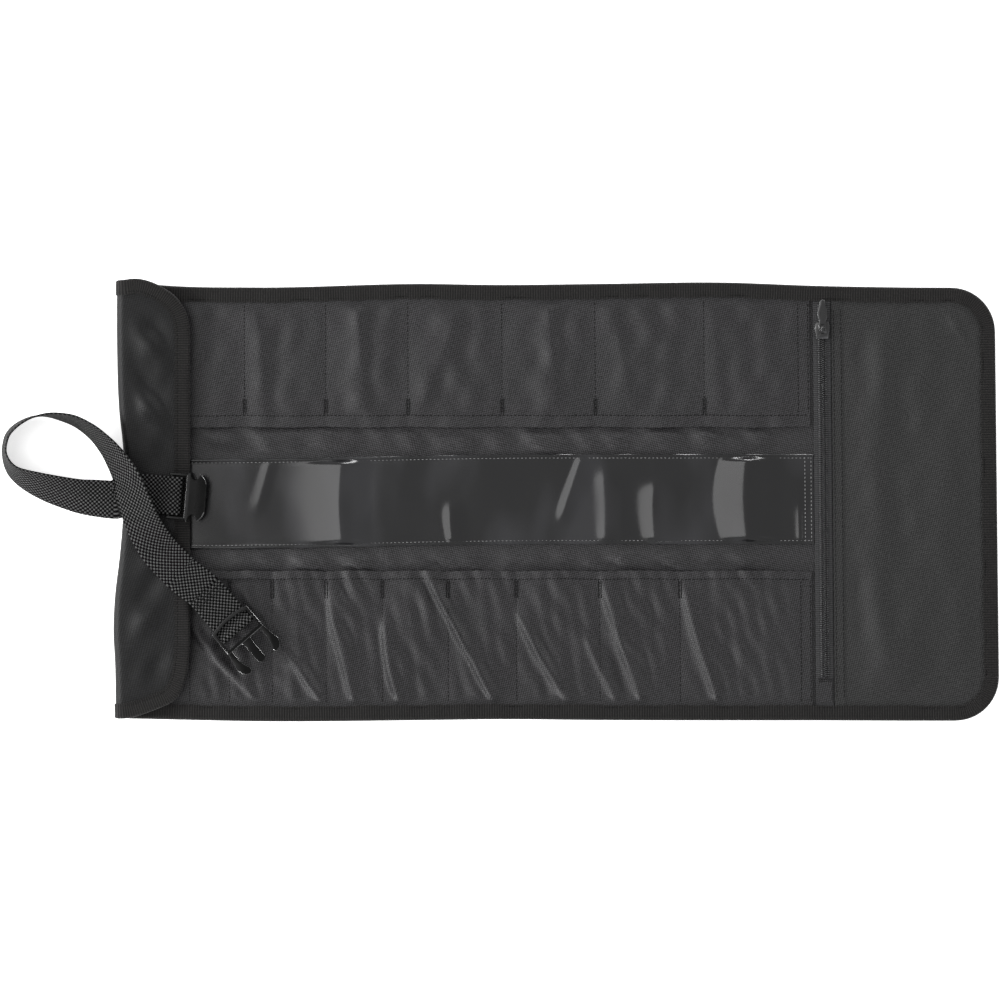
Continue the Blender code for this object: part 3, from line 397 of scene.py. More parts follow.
@dataclass(frozen=True)
class ClearVinyl:
    """Soft clear PVC film over black cloth: dark, with a gloss that catches lights in broad streaks.

    The reflections of the film's two faces are drawn as one, so its index is set high.
    """

    name: str
    tint: str
    reflection_grey: str
    cover: float = 0.92
    roughness: float = 0.15
    index: float = 1.57

    @cached_property
    def material(self) -> Material:
        """Builds the film, with soft patches of lighter grey painted in as a reflection, where it is also a
        little rougher.

        Returns:
            The material.
        """
        material, tree, shader = blank_material(self.name)
        links = {0: add_node(tree, "ShaderNodeTexCoord").outputs["Object"], 1: (1.0, 0.4, 1.0)}
        drawn_out = add_node(tree, "ShaderNodeVectorMath", links, operation="MULTIPLY")
        # The same noise lays soft patches of lighter grey, a painted reflection, and makes the film a
        # little rougher in them.
        painted_reflection_zone = add_node(tree, "ShaderNodeTexNoise", {"Vector": drawn_out, "Scale": 26.0, "Detail": 2.0})
        reflection_share = add_node(tree, "ShaderNodeMapRange", {0: painted_reflection_zone, 1: 0.48, 2: 0.66, 3: 0.0, 4: 1.0})
        colours = {0: reflection_share, 6: linear(self.tint), 7: linear(self.reflection_grey)}
        shade = add_node(tree, "ShaderNodeMix", colours, data_type="RGBA")
        ends = {0: painted_reflection_zone, 1: 0.35, 2: 0.75, 3: self.roughness, 4: self.roughness * 1.4}
        haze = add_node(tree, "ShaderNodeMapRange", ends)
        inputs = {"Base Color": shade.outputs[2], "Roughness": haze, "IOR": self.index, "Alpha": self.cover}
        feed(shader, inputs)
        return material


@dataclass(frozen=True)
class HardPlastic:
    """Hard plastic, moulded acetal or drawn nylon: even, half gloss, with a faint grain."""

    name: str
    colour: str
    roughness: float
    polish: float = 0.0
    gloss: float = 0.5
    grain: float = 0.35 * MM

    @cached_property
    def material(self) -> Material:
        """Builds the plastic, a little rougher in patches.

        Returns:
            The material.
        """
        material, tree, shader = blank_material(self.name)
        place = add_node(tree, "ShaderNodeTexCoord").outputs["Object"]
        specks = {"Vector": place, "Scale": 1 / self.grain, "Detail": 2.0}
        grain = add_node(tree, "ShaderNodeTexNoise", specks)
        patches = add_node(tree, "ShaderNodeTexNoise", {"Vector": place, "Scale": 120.0, "Detail": 3.0})
        relief = {"Height": grain, "Strength": 0.12, "Distance": 0.05 * MM}
        ends = {0: patches, 1: 0.3, 2: 0.7, 3: self.roughness * 0.85, 4: self.roughness * 1.2}
        inputs = {
            "Base Color": linear(self.colour),
            "Normal": add_node(tree, "ShaderNodeBump", relief),
            "Roughness": add_node(tree, "ShaderNodeMapRange", ends),
            "IOR": 1.48,
            "Specular IOR Level": self.gloss,
            "Coat Weight": self.polish,
            "Coat Roughness": 0.2,
        }
        feed(shader, inputs)
        return material


@dataclass(frozen=True)
class LacqueredZinc:
    """Die-cast zinc under black lacquer: glossy, worn to grey metal on its sharp edges."""

    name: str
    lacquer: str
    metal: str
    roughness: float = 0.28
    polish: float = 0.5

    @cached_property
    def material(self) -> Material:
        """Builds the lacquer, with bright wear found from the surface's sharpness.

        Returns:
            The material.
        """
        material, tree, shader = blank_material(self.name)
        sharpness = add_node(tree, "ShaderNodeNewGeometry").outputs["Pointiness"]
        place = add_node(tree, "ShaderNodeTexCoord").outputs["Object"]
        chips = add_node(tree, "ShaderNodeTexNoise", {"Vector": place, "Scale": 900.0, "Detail": 4.0})
        edge = add_node(tree, "ShaderNodeMapRange", {0: sharpness, 1: 0.54, 2: 0.62, 3: 0.0, 4: 1.0})
        wear = add_node(tree, "ShaderNodeMath", {0: edge, 1: chips}, operation="MULTIPLY")
        colours = {0: wear, 6: linear(self.lacquer), 7: linear(self.metal)}
        shade = add_node(tree, "ShaderNodeMix", colours, data_type="RGBA")
        inputs = {
            "Base Color": shade.outputs[2],
            "Metallic": wear,
            "Roughness": self.roughness,
            "Coat Weight": self.polish,
            "Coat Roughness": 0.12,
        }
        feed(shader, inputs)
        return material


@dataclass(frozen=True)
class SpunThread:
    """Polyester sewing thread: two plies twisted together, dull."""

    name: str
    dark: str
    light: str
    gloss: float

    @cached_property
    def material(self) -> Material:
        """Builds the thread, with a twist too fine to show drawn as light and dark flecks.

        Returns:
            The material.
        """
        material, tree, shader = blank_material(self.name)
        place = add_node(tree, "ShaderNodeTexCoord").outputs["Object"]
        twist = add_node(tree, "ShaderNodeTexNoise", {"Vector": place, "Scale": 1500.0, "Detail": 1.0})
        colours = {0: twist, 6: linear(self.dark), 7: linear(self.light)}
        shade = add_node(tree, "ShaderNodeMix", colours, data_type="RGBA")
        inputs = {"Base Color": shade.outputs[2], "Roughness": 0.65, "Specular IOR Level": self.gloss}
        feed(shader, inputs)
        return material


@dataclass(frozen=True)
class Finishes:
    """Every finish of the bag. Each builds its material when it is first asked for, and keeps it."""

    flap: WovenPolyester = WovenPolyester("coated_polyester_flap", "030303", "171718", gloss=0.18)
    pocket: WovenPolyester = WovenPolyester("coated_polyester_pockets", "020202", "2a292b")
    panel: WovenPolyester = WovenPolyester("coated_polyester_end_panel", "030303", "272727")
    lining: WovenPolyester = WovenPolyester("coated_polyester_lining", "030303", "2c2b2d")
    tape: RibbedTape = RibbedTape(
        "grosgrain_edge_tape", "030303", "1b1918", 1.7 * MM, 1.9 * MM, 0.3 * MM, False, gloss=0.17
    )
    zip_tape: RibbedTape = RibbedTape(
        "knitted_zip_tape", "1d1d1e", "3c3c3d", 1.3 * MM, 1.5 * MM, 0.1 * MM, False
    )
    webbing: RibbedTape = RibbedTape(
        "ribbed_polyester_webbing", "010101", "4d4d4d", 3.0 * MM, 2.889 * MM, 0.5 * MM, True, 0.7, 0.04, 0.0
    )
    # The film's second colour is the grey of its painted reflection.
    film: ClearVinyl = ClearVinyl("clear_vinyl_film", "101011", "202022")
    buckle: HardPlastic = HardPlastic("moulded_black_acetal", "030303", 0.26, gloss=0.18)
    # A lighter, glossier finish for the buckles' upper bevels: a painted highlight.
    buckle_edge: HardPlastic = HardPlastic("acetal_edges_painted_highlight", "1c1c1d", 0.22, polish=1.0, gloss=1.0)
    coil: HardPlastic = HardPlastic("drawn_nylon_coil", "333334", 0.3)
    zinc: LacqueredZinc = LacqueredZinc("lacquered_zinc_zip_slider", "0e0e0f", "626264")
    black_thread: SpunThread = SpunThread("black_sewing_thread", "010101", "070707", 0.12)
    # The window's thread is coloured light grey: a painted highlight for the light that the stitches and
    # their needle holes catch.
    highlit_window_thread: SpunThread = SpunThread("window_thread_painted_highlight", "303030", "868686", 0.4)

    def needle(self, *sizes: float) -> Needle:
        """A needle with black thread: its pitch, and the length, width and height of a stitch."""
        return Needle(self.black_thread.material, *sizes)


# Pieces of cloth


def place_piece(piece: Object, body: str, slot: Slot, *nodes: str) -> Object:
    """Rides a finished piece on its body and lets it stand for its CAD nodes.

    Args:
        piece: the finished object.
        body: the CAD body that it moves with.
        slot: the material slot of its finish; not used.
        nodes: the CAD nodes that it stands for.

    Returns:
        The piece.
    """
    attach(piece, body)
    if nodes:
        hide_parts(*nodes)
    log.info("%s: %d faces on %s", piece.name, len(piece.data.polygons), body)
    return piece


def mesh_piece(
    name: str, vertices: Array, faces: Array | list, material: Material,
    flat: Array | None = None, sharp: float = 50.0,
) -> Object:
    """Makes an object from points and faces.

    Args:
        name: the object's name.
        vertices: its points.
        faces: the points of each face.
        material: its finish.
        flat: each point's place on the flat cloth, in metres.
        sharp: the angle in degrees past which an edge is kept sharp.

    Returns:
        The object, at the origin.
    """
    data = bpy.data.meshes.new(name)
    data.from_pydata(vertices.tolist(), [], faces.tolist() if isinstance(faces, Array) else faces)
    if flat is not None:
        layer = data.uv_layers.new(name="Cloth")
        corners = np.empty(len(data.loops), dtype=np.int32)
        data.loops.foreach_get("vertex_index", corners)
        layer.data.foreach_set("uv", flat[corners].astype(np.float32).ravel())
    data.shade_smooth()
    data.set_sharp_from_angle(angle=math.radians(sharp))
    data.materials.append(material)
    data.update()
    piece = bpy.data.objects.new(name, data)
    bpy.context.scene.collection.objects.link(piece)
    return piece


def make_sheet(
    name: str, middle: Array, thickness: Array | float, flat: Array, material: Material
) -> Object:
    """Makes a closed cloth of a thickness round a grid of points.

    Args:
        name: the object's name.
        middle: the grid of points, rows by columns.
        thickness: one thickness, or one for each point.
        flat: each point's place on the flat cloth.
        material: its finish.

    Returns:
        The cloth.
    """
    rows, columns = middle.shape[:2]
    half = np.broadcast_to(np.asarray(thickness), (rows, columns))[..., None] / 2
    out = normals(middle)
    points = np.concatenate([(middle + out * half).reshape(-1, 3), (middle - out * half).reshape(-1, 3)])
    index = np.arange(rows * columns).reshape(rows, columns)
    top = np.stack([index[:-1, :-1], index[1:, :-1], index[1:, 1:], index[:-1, 1:]], -1).reshape(-1, 4)
    rim = np.concatenate([index[:, 0], index[-1, 1:], index[-2::-1, -1], index[0, -2:0:-1]])
    after = np.roll(rim, -1)
    below = rows * columns
    sides = np.stack([after, rim, rim + below, after + below], -1)
    faces = np.concatenate([top, top[:, ::-1] + below, sides])
    doubled = np.concatenate([flat.reshape(-1, 2)] * 2)
    return mesh_piece(name, points, faces, material, doubled)


def make_band(name: str, rings: Array, flat: Array, closed: bool, material: Material) -> Object:
    """Makes a closed body through rings of points.

    Args:
        name: the object's name.
        rings: stations by points by three.
        flat: each point's place across and along the flat tape.
        closed: True if the last ring joins the first.
        material: its finish.

    Returns:
        The band.
    """
    stations, around = rings.shape[:2]
    index = np.arange(stations * around).reshape(stations, around)
    following = np.roll(index, -1, axis=1)
    if closed:
        ahead, ahead_following = np.roll(index, -1, axis=0), np.roll(following, -1, axis=0)
    else:
        ahead, ahead_following = index[1:], following[1:]
        index, following = index[:-1], following[:-1]
    quads = np.stack([index, following, ahead_following, ahead], -1).reshape(-1, 4).tolist()
    if not closed:
        quads.append(list(range(around))[::-1])
        quads.append(list(range((stations - 1) * around, stations * around)))
    piece = mesh_piece(name, rings.reshape(-1, 3), quads, material, flat.reshape(-1, 2))
    face_outwards(piece)
    return piece


def face_outwards(piece: Object) -> None:
    """Turns every face of a closed piece outwards.

    Args:
        piece: the object.
    """
    mesh = bmesh.new()
    mesh.from_mesh(piece.data)
    bmesh.ops.recalc_face_normals(mesh, faces=mesh.faces)
    mesh.to_mesh(piece.data)
    mesh.free()


def take_model() -> tuple[Array, list[list[int]]]:
    """Takes the object that was just modelled apart, and puts it away.

    Returns:
        Its points and its faces.
    """
    model = bpy.context.object
    shape = np.array([vertex.co[:] for vertex in model.data.vertices])
    faces = [list(face.vertices) for face in model.data.polygons]
    bpy.data.objects.remove(model, do_unlink=True)
    return shape, faces


def repeated(faces: list[list[int]], points: int, copies: int) -> list[list[int]]:
    """The faces of a number of copies of one model, each with so many points."""
    return [[v + k * points for v in face] for k in range(copies) for face in faces]


@dataclass
class Needle:
    """Sews runs of stitches: one stitch is modelled, then copied along each line."""

    material: Material
    pitch: float = 2.9 * MM
    length: float = 2.1 * MM
    width: float = 0.55 * MM
    height: float = 0.5 * MM
    stitches: list[Array] = field(default_factory=list)

    def sew(self, line: Array, up: Array | None = None) -> None:
        """Adds stitches along a line.

        Args:
            line: the points that the seam follows, on the cloth's surface.
            up: the direction out of the cloth at each point, or +Z.
        """
        if up is None:
            up = np.tile([0.0, 0.0, 1.0], (len(line), 1))
        even = resampled(np.hstack([line, up]), self.pitch)
        points, out = even[:, :3], even[:, 3:]
        ahead = unit(np.gradient(points, axis=0))
        side = unit(np.cross(out, ahead))
        out = np.cross(ahead, side)
        for k in range(len(points) - 1):
            centre = (points[k] + points[k + 1]) / 2
            self.stitches.append(np.stack([ahead[k], side[k], out[k], centre]))

    def finish(self, name: str, slot: Slot) -> Object:
        """Copies the stitch to every place and joins the copies in one piece.

        Args:
            name: the object's name.
            slot: its material slot.

        Returns:
            The stitches.
        """
        lay_down_tools()
        bpy.ops.mesh.primitive_uv_sphere_add(segments=6, ring_count=4, radius=0.5)
        bpy.context.object.rotation_euler = (0.0, math.pi / 2, 0.0)
        bpy.ops.object.transform_apply(rotation=True)
        shape, faces = take_model()
        frames = np.stack(self.stitches)
        points = shape * [self.length, self.width, self.height] @ frames[:, :3, :] + frames[:, 3:, :]
        copies = repeated(faces, len(shape), len(frames))
        piece = mesh_piece(name, points.reshape(-1, 3), copies, self.material, sharp=180.0)
        return place_piece(piece, BAG, slot)


# The bag's plan


@dataclass
class BagPlan:
    """The bag's sizes and the lines that its pieces share."""

    length: float = 0.600
    width: float = 0.296
    corner: float = 0.030
    lean: float = 0.0033
    wave: float = 0.0023
    bow: float = 0.0034
    loop_reach: float = 0.079
    flap_rise: float = 0.0045
    flap_depth: float = 0.049
    flap_corner: float = 0.024
    gap: float = 0.0003
    shell_cloth: float = 0.0012
    panel_cloth: float = 0.0010
    tape_cloth: float = 0.0009
    tape_width: float = 0.0092
    panel_inset: float = 0.0027
    shell_z: float = 0.0018
    panel_floor: float = 0.0027
    flap_z: float = 0.0115
    edge_rows: tuple[tuple[float, ...], ...] = (
        (0.00, 1.60, -0.75), (0.05, 0.20, -0.45), (0.16, -0.45, 0.15), (0.35, 0.60, -0.20),
        (0.43, 0.30, -0.45), (0.55, 0.60, -0.20), (0.69, 1.00, -0.10), (0.80, 0.00, -0.10),
        (0.90, -0.45, 0.00), (1.00, -0.50, 0.00),
    )
    fold_rows: tuple[tuple[float, ...], ...] = (
        (0.00, 0.0), (0.14, -0.2), (0.20, -0.5), (0.29, -0.2), (0.37, 0.6), (0.47, 1.3),
        (0.63, 1.3), (0.71, 0.6), (0.86, 0.2), (1.00, 0.2),
    )
    flap_rows: tuple[tuple[float, ...], ...] = (
        (0.00, 0.00, 0.00), (0.14, -0.04, 0.04), (0.30, -0.01, 0.13), (0.45, 0.08, 0.23),
        (0.60, 0.22, 0.34), (0.74, 0.38, 0.46), (0.86, 0.62, 0.72), (0.94, 0.88, 1.12),
        (0.985, 1.15, 1.65), (1.00, 1.45, 2.20),
    )

    def __post_init__(self) -> None:
        """Works out what follows from the sizes."""
        self.fold = -(self.length + self.loop_reach) / 2 + self.loop_reach
        self.bottom = -(self.width + self.flap_rise) / 2
        self.top = self.bottom + self.width
        self.edge_turn = self.gap + self.tape_cloth
        self.fold_radius = (self.flap_z - self.shell_z) / 2
        self.edges = np.array(self.edge_rows)
        self.bows = np.array(self.fold_rows)
        self.flaps = np.array(self.flap_rows)

    def across(self, y: Array) -> Array:
        """A place across the body, from its bottom edge (0) to its top edge (1)."""
        return (y - self.bottom) / self.width

    def fold_x(self, y: Array) -> Array:
        """Where the folded edge lies."""
        return self.fold + self.bow * curve(self.bows[:, 0], self.bows[:, 1], self.across(y))

    def body_x(self, along: Array, y: Array) -> Array:
        """The place of a distance along the body."""
        return self.fold + along + self.lean * (0.12 - self.across(y)) * along / self.length

    def corner_cut(self, along: Array, inset: float) -> Array:
        """How far a rounded corner takes the edge in.

        Args:
            along: distances along the body.
            inset: how far inside the edge the line lies.

        Returns:
            The distances inwards.
        """
        radius = self.corner - inset
        past = np.clip(along - (self.length - self.corner), 0.0, radius)
        return radius - np.sqrt(np.maximum(radius * radius - past * past, 0.0))

    def top_edge(self, along: Array, inset: float = 0.0) -> Array:
        """The body's top edge, or a line inside it."""
        wave = self.wave * curve(self.edges[:, 0], self.edges[:, 1], along / self.length)
        return self.top + wave - inset - self.corner_cut(along, inset)

    def bottom_edge(self, along: Array, inset: float = 0.0) -> Array:
        """The body's bottom edge, or a line inside it."""
        wave = self.wave * curve(self.edges[:, 0], self.edges[:, 2], along / self.length)
        return self.bottom - wave + inset + self.corner_cut(along, inset)

    def edges_at(self, along: Array, inset: float) -> tuple[Array, Array]:
        """Lines inside the bottom edge and the top edge."""
        return self.bottom_edge(along, inset), self.top_edge(along, inset)

    def corner_stations(self, inset: float, steps: int) -> Array:
        """Distances along the body through the round corners, from the end inwards."""
        radius = self.corner - inset
        return self.length - self.corner + radius * np.cos(np.linspace(0, math.pi / 2, steps + 1))


@dataclass
class OuterShell:
    """The floor cloth, its fold at the left end and the flap, in one sheet."""

    plan: BagPlan
    finishes: Finishes
    columns: int = 90
    body_steps: int = 230
    fold_steps: int = 16
    flap_steps: int = 44
    corner_steps: int = 14
    pinch: float = 0.10
    dent: float = 0.0034
    band_wave: float = 0.0019
    band_edges: tuple[float, float, float, float] = (-0.0487, -0.0300, 0.0310, 0.0500)

    def rows(self) -> tuple[Array, Array]:
        """Every point of the sheet, and how far along the flat cloth its row lies.

        Returns:
            The grid from the far end over the fold to the flap's edge, and each row's distance.
        """
        plan = self.plan
        share = np.linspace(0, 1, self.columns)
        corner = plan.corner_stations(plan.edge_turn, self.corner_steps)
        straight = np.linspace(corner[-1], plan.fold_radius + plan.bow * 1.5, self.body_steps)[1:]
        along = np.concatenate([corner, straight])[:, None]
        low, high = plan.edges_at(along, plan.edge_turn)
        y = low + (high - low) * share
        near = ramp(1 - along / (plan.length * 0.08))
        x = plan.body_x(along, y) + (plan.fold_x(y) - plan.fold) * near
        body = np.stack([x, y, plan.shell_z + self.band_folds(x, y)], -1)

        low, high = low[-1], high[-1]
        edge_low, edge_high = plan.edges_at(np.array([0.0]), plan.edge_turn)
        angle = np.linspace(0, math.pi, self.fold_steps + 1)[1:, None]
        y = edge_low + (edge_high - edge_low) * share + np.zeros_like(angle)
        pinch = 1 - self.pinch * np.exp(-(((plan.across(y) - 0.55) / 0.25) ** 2))
        radius = plan.fold_radius
        x = plan.fold_x(y) + radius * (1 - np.sin(angle) * pinch)
        z = plan.shell_z + radius - radius * np.cos(angle) + np.zeros_like(y)
        fold = np.stack([x, y, z], -1)

        chord = run_along(plan.flaps[:, :2])
        run = np.linspace(0, chord[-1], self.flap_steps + 1)[1:]
        depth = curve(chord, plan.flaps[:, 0], run)[:, None]
        low = edge_low + plan.flap_corner * curve(chord, plan.flaps[:, 2], run)[:, None]
        high = edge_high - plan.flap_corner * curve(chord, plan.flaps[:, 1], run)[:, None]
        y = low + (high - low) * share
        start = plan.fold_x(y) + radius
        x = start + (plan.fold + plan.flap_depth - start) * depth
        flap = np.stack([x, y, plan.flap_z + self.flap_dents(depth, plan.across(y))], -1)

        grid = np.concatenate([body, fold, flap])
        return grid, run_along(grid[:, self.columns // 2])

    def band_folds(self, x: Array, y: Array) -> Array:
        """Soft folds in the two bare bands between the pockets and the window.

        Args:
            x: places along the bag.
            y: places across it.

        Returns:
            The folds' heights.
        """
        low, low_film, high_film, high = self.band_edges
        lower = ramp((y - low + 0.001) / 0.006) * ramp((low_film - 0.004 - y) / 0.006)
        upper = ramp((y - high_film - 0.001) / 0.006) * ramp((high - 0.001 - y) / 0.006)
        across, down = 0.6 * x + 0.8 * y, 0.8 * x - 0.6 * y
        waves = 1 + ripple(across, down, 0.013, 11, 3.5) + 0.5 * ripple(x, y, 0.05, 12)
        ends = ramp((0.1905 - x) / 0.012) * ramp((x + 0.206) / 0.012)
        return self.band_wave * np.clip(waves, 0, 2.4) * np.maximum(lower, upper) * ends

    def flap_dents(self, depth: Array, across: Array) -> Array:
        """The flap's slack folds: two creases from its top corner, softer ones below.

        Args:
            depth: from the fold (0) to the flap's edge (1).
            across: from the bottom (0) to the top (1).

        Returns:
            The folds' heights.
        """
        height = np.zeros(np.broadcast(depth, across).shape)
        creases = (
            (0.10, 0.900, 1.05, 0.030, 0.9), (0.10, 0.955, 1.05, 0.020, -0.5),
            (0.35, 0.720, 1.3, 0.028, 0.8), (0.30, 0.780, 1.3, 0.022, -0.4),
            (0.30, 0.230, -0.9, 0.030, 0.6), (0.55, 0.130, -0.7, 0.024, -0.5),
            (0.45, 0.330, -0.6, 0.040, -0.4),
        )
        for place, centre, slope, spread, rise in creases:
            offset = across - centre + slope * (depth - place) * 0.115
            height += rise * np.exp(-((offset / spread) ** 2)) * ramp((depth - place + 0.35) / 0.3)
        height += 0.25 * ripple(depth * 0.045, across * 0.3, 0.03, 5)
        edge = ramp(depth / 0.35) * ramp((0.78 - depth) / 0.35)
        edge = edge * ramp(across / 0.08 - 0.5) * ramp((1 - across) / 0.08 - 0.5)
        strap = ramp((np.abs(across - 0.508) - 0.065) / 0.05)
        return self.dent * height * edge * strap

    def build(self) -> tuple[Array, Array]:
        """Makes the cloth.

        Returns:
            Its grid of points, and the direction to its inner side at each of them.
        """
        plan = self.plan
        grid, run = self.rows()
        flat = stacked(run[:, None], grid[..., 1])
        material = self.finishes.flap.material
        piece = make_sheet("outer_cloth", grid, plan.shell_cloth, flat, material)
        inner_faces = (len(grid) - 1) * (self.columns - 1)
        side = np.zeros(len(piece.data.polygons), dtype=np.int32)
        side[inner_faces : 2 * inner_faces] = 1
        piece.data.materials.append(self.finishes.lining.material)
        piece.data.polygons.foreach_set("material_index", side)
        place_piece(piece, BAG, Slot.FLAP_CLOTH, "outer_shell", "shell_fold", "end_flap")
        return grid, -normals(grid)


@dataclass
class EdgeTape:
    """The grosgrain tape wrapped round the whole edge of the body and the flap."""

    plan: BagPlan
    finishes: Finishes
    grid: Array
    inner: Array
    step: float = 1.6 * MM
    pucker: float = 0.00022
    seam_inset: float = 0.0017
    lip: float = 0.0006
    press: float = 0.25

    def loop(self) -> Array:
        """Follows the sheet's edge all round.

        Returns:
            For each place its point, the direction to the inner side, and the height of the cloths there.
        """
        plan, grid, inner = self.plan, self.grid, self.inner
        rows, columns = grid.shape[:2]
        index = np.arange(rows * columns).reshape(rows, columns)
        rim = np.concatenate([index[:, 0], index[-1, 1:-1], index[::-1, -1], index[0, -2:0:-1]])
        turned_over = plan.shell_cloth / 2 + plan.gap
        body = plan.shell_cloth / 2 + plan.gap * 2 + plan.panel_cloth
        lift = (grid[..., 2] - plan.shell_z) / (plan.flap_z - plan.shell_z)
        stack = body + (turned_over - body) * ramp(lift)
        packed = np.hstack([grid.reshape(-1, 3)[rim], inner.reshape(-1, 3)[rim], stack.reshape(-1, 1)[rim]])
        even = resampled(packed, self.step, closed=True)
        for _ in range(3):
            even = (np.roll(even, 1, axis=0) + even * 2 + np.roll(even, -1, axis=0)) / 4
        even[:, 3:6] = unit(even[:, 3:6])
        return even

    def build(self) -> None:
        """Makes the tape and its seam."""
        plan = self.plan
        loop = self.loop()
        point, inner, stack = loop[:, :3], loop[:, 3:6], loop[:, 6]
        ahead = np.roll(point, -1, axis=0) - np.roll(point, 1, axis=0)
        inward = unit(np.cross(ahead, inner))
        run = np.arange(len(loop)) * self.step
        low = plan.shell_cloth / 2 + plan.gap
        leg, cloth, web, lip = plan.tape_width, plan.tape_cloth, plan.gap, self.lip
        wobble = np.sin(run / 0.0042 + 2.2 * np.sin(run / 0.031)) + 0.7 * np.sin(run / 0.0113)
        wobble *= self.pucker
        press = self.press * cloth
        profile = []
        for share in (0.0, 0.12, 0.3, 0.55, 0.8, 1.0):
            dip = press * math.exp(-(((1 - share) * leg - self.seam_inset) / 0.0011) ** 2)
            profile.append((leg - share * (leg - lip), stack + cloth - dip, 1.0))
        for angle in np.linspace(math.pi / 2, -math.pi / 2, 9)[1:-1]:
            reach = lip - (lip + web + cloth) * math.cos(angle)
            middle = (stack - low) / 2
            tall = (stack + low + 2 * cloth) / 2
            profile.append((reach, middle + tall * math.sin(angle), 0.5))
        for share in (1.0, 0.7, 0.35, 0.0):
            profile.append((leg - share * (leg - lip), -low - cloth, 0.0))
        inside = ((leg, -low), (0.0004, -low), (-web, (stack - low) / 2), (0.0004, stack), (leg, stack))
        profile += [(reach, height, 0.0) for reach, height in inside]
        rings = []
        for reach, height, loose in profile:
            side = reach + (wobble * 0.9 if reach > leg * 0.9 else 0.0)
            lift = np.reshape(height + wobble * loose, (-1, 1))
            rings.append(point + inward * np.reshape(side, (-1, 1)) + inner * lift)
        rings = np.stack(rings, axis=1)
        steps = np.linalg.norm(np.roll(rings, -1, axis=1) - rings, axis=2)
        around = np.concatenate([np.zeros((len(rings), 1)), np.cumsum(steps, axis=1)[:, :-1]], axis=1)
        flat = stacked(around, run[:, None])
        tape = make_band("edge_tape", rings, flat, True, self.finishes.tape.material)
        nodes = [f"binding_{part}" for part in ("bottom", "bottom_fold", "flap", "top_fold", "top", "end")]
        place_piece(tape, BAG, Slot.BINDING, *nodes)
        needle = self.finishes.needle(2.6 * MM, 1.9 * MM)
        for height, sign in ((stack + cloth - press, 1), (-low - cloth, -1)):
            line = point + inward * (leg - self.seam_inset) + inner * np.reshape(height, (-1, 1))
            line = np.vstack([line, line[:1]])
            needle.sew(line, np.vstack([inner, inner[:1]]) * sign)
        needle.finish("edge_tape_stitches", Slot.BINDING)


class Side(Enum):
    """Which long edge a row of pockets hangs from."""

    TOP = 1
    BOTTOM = -1


@dataclass
class Fold:
    """A crease in the pocket cloth, from its mouth end to its closed end."""

    start: float
    end: float
    from_depth: float
    to_depth: float
    sweep: float
    height: float
    width: float


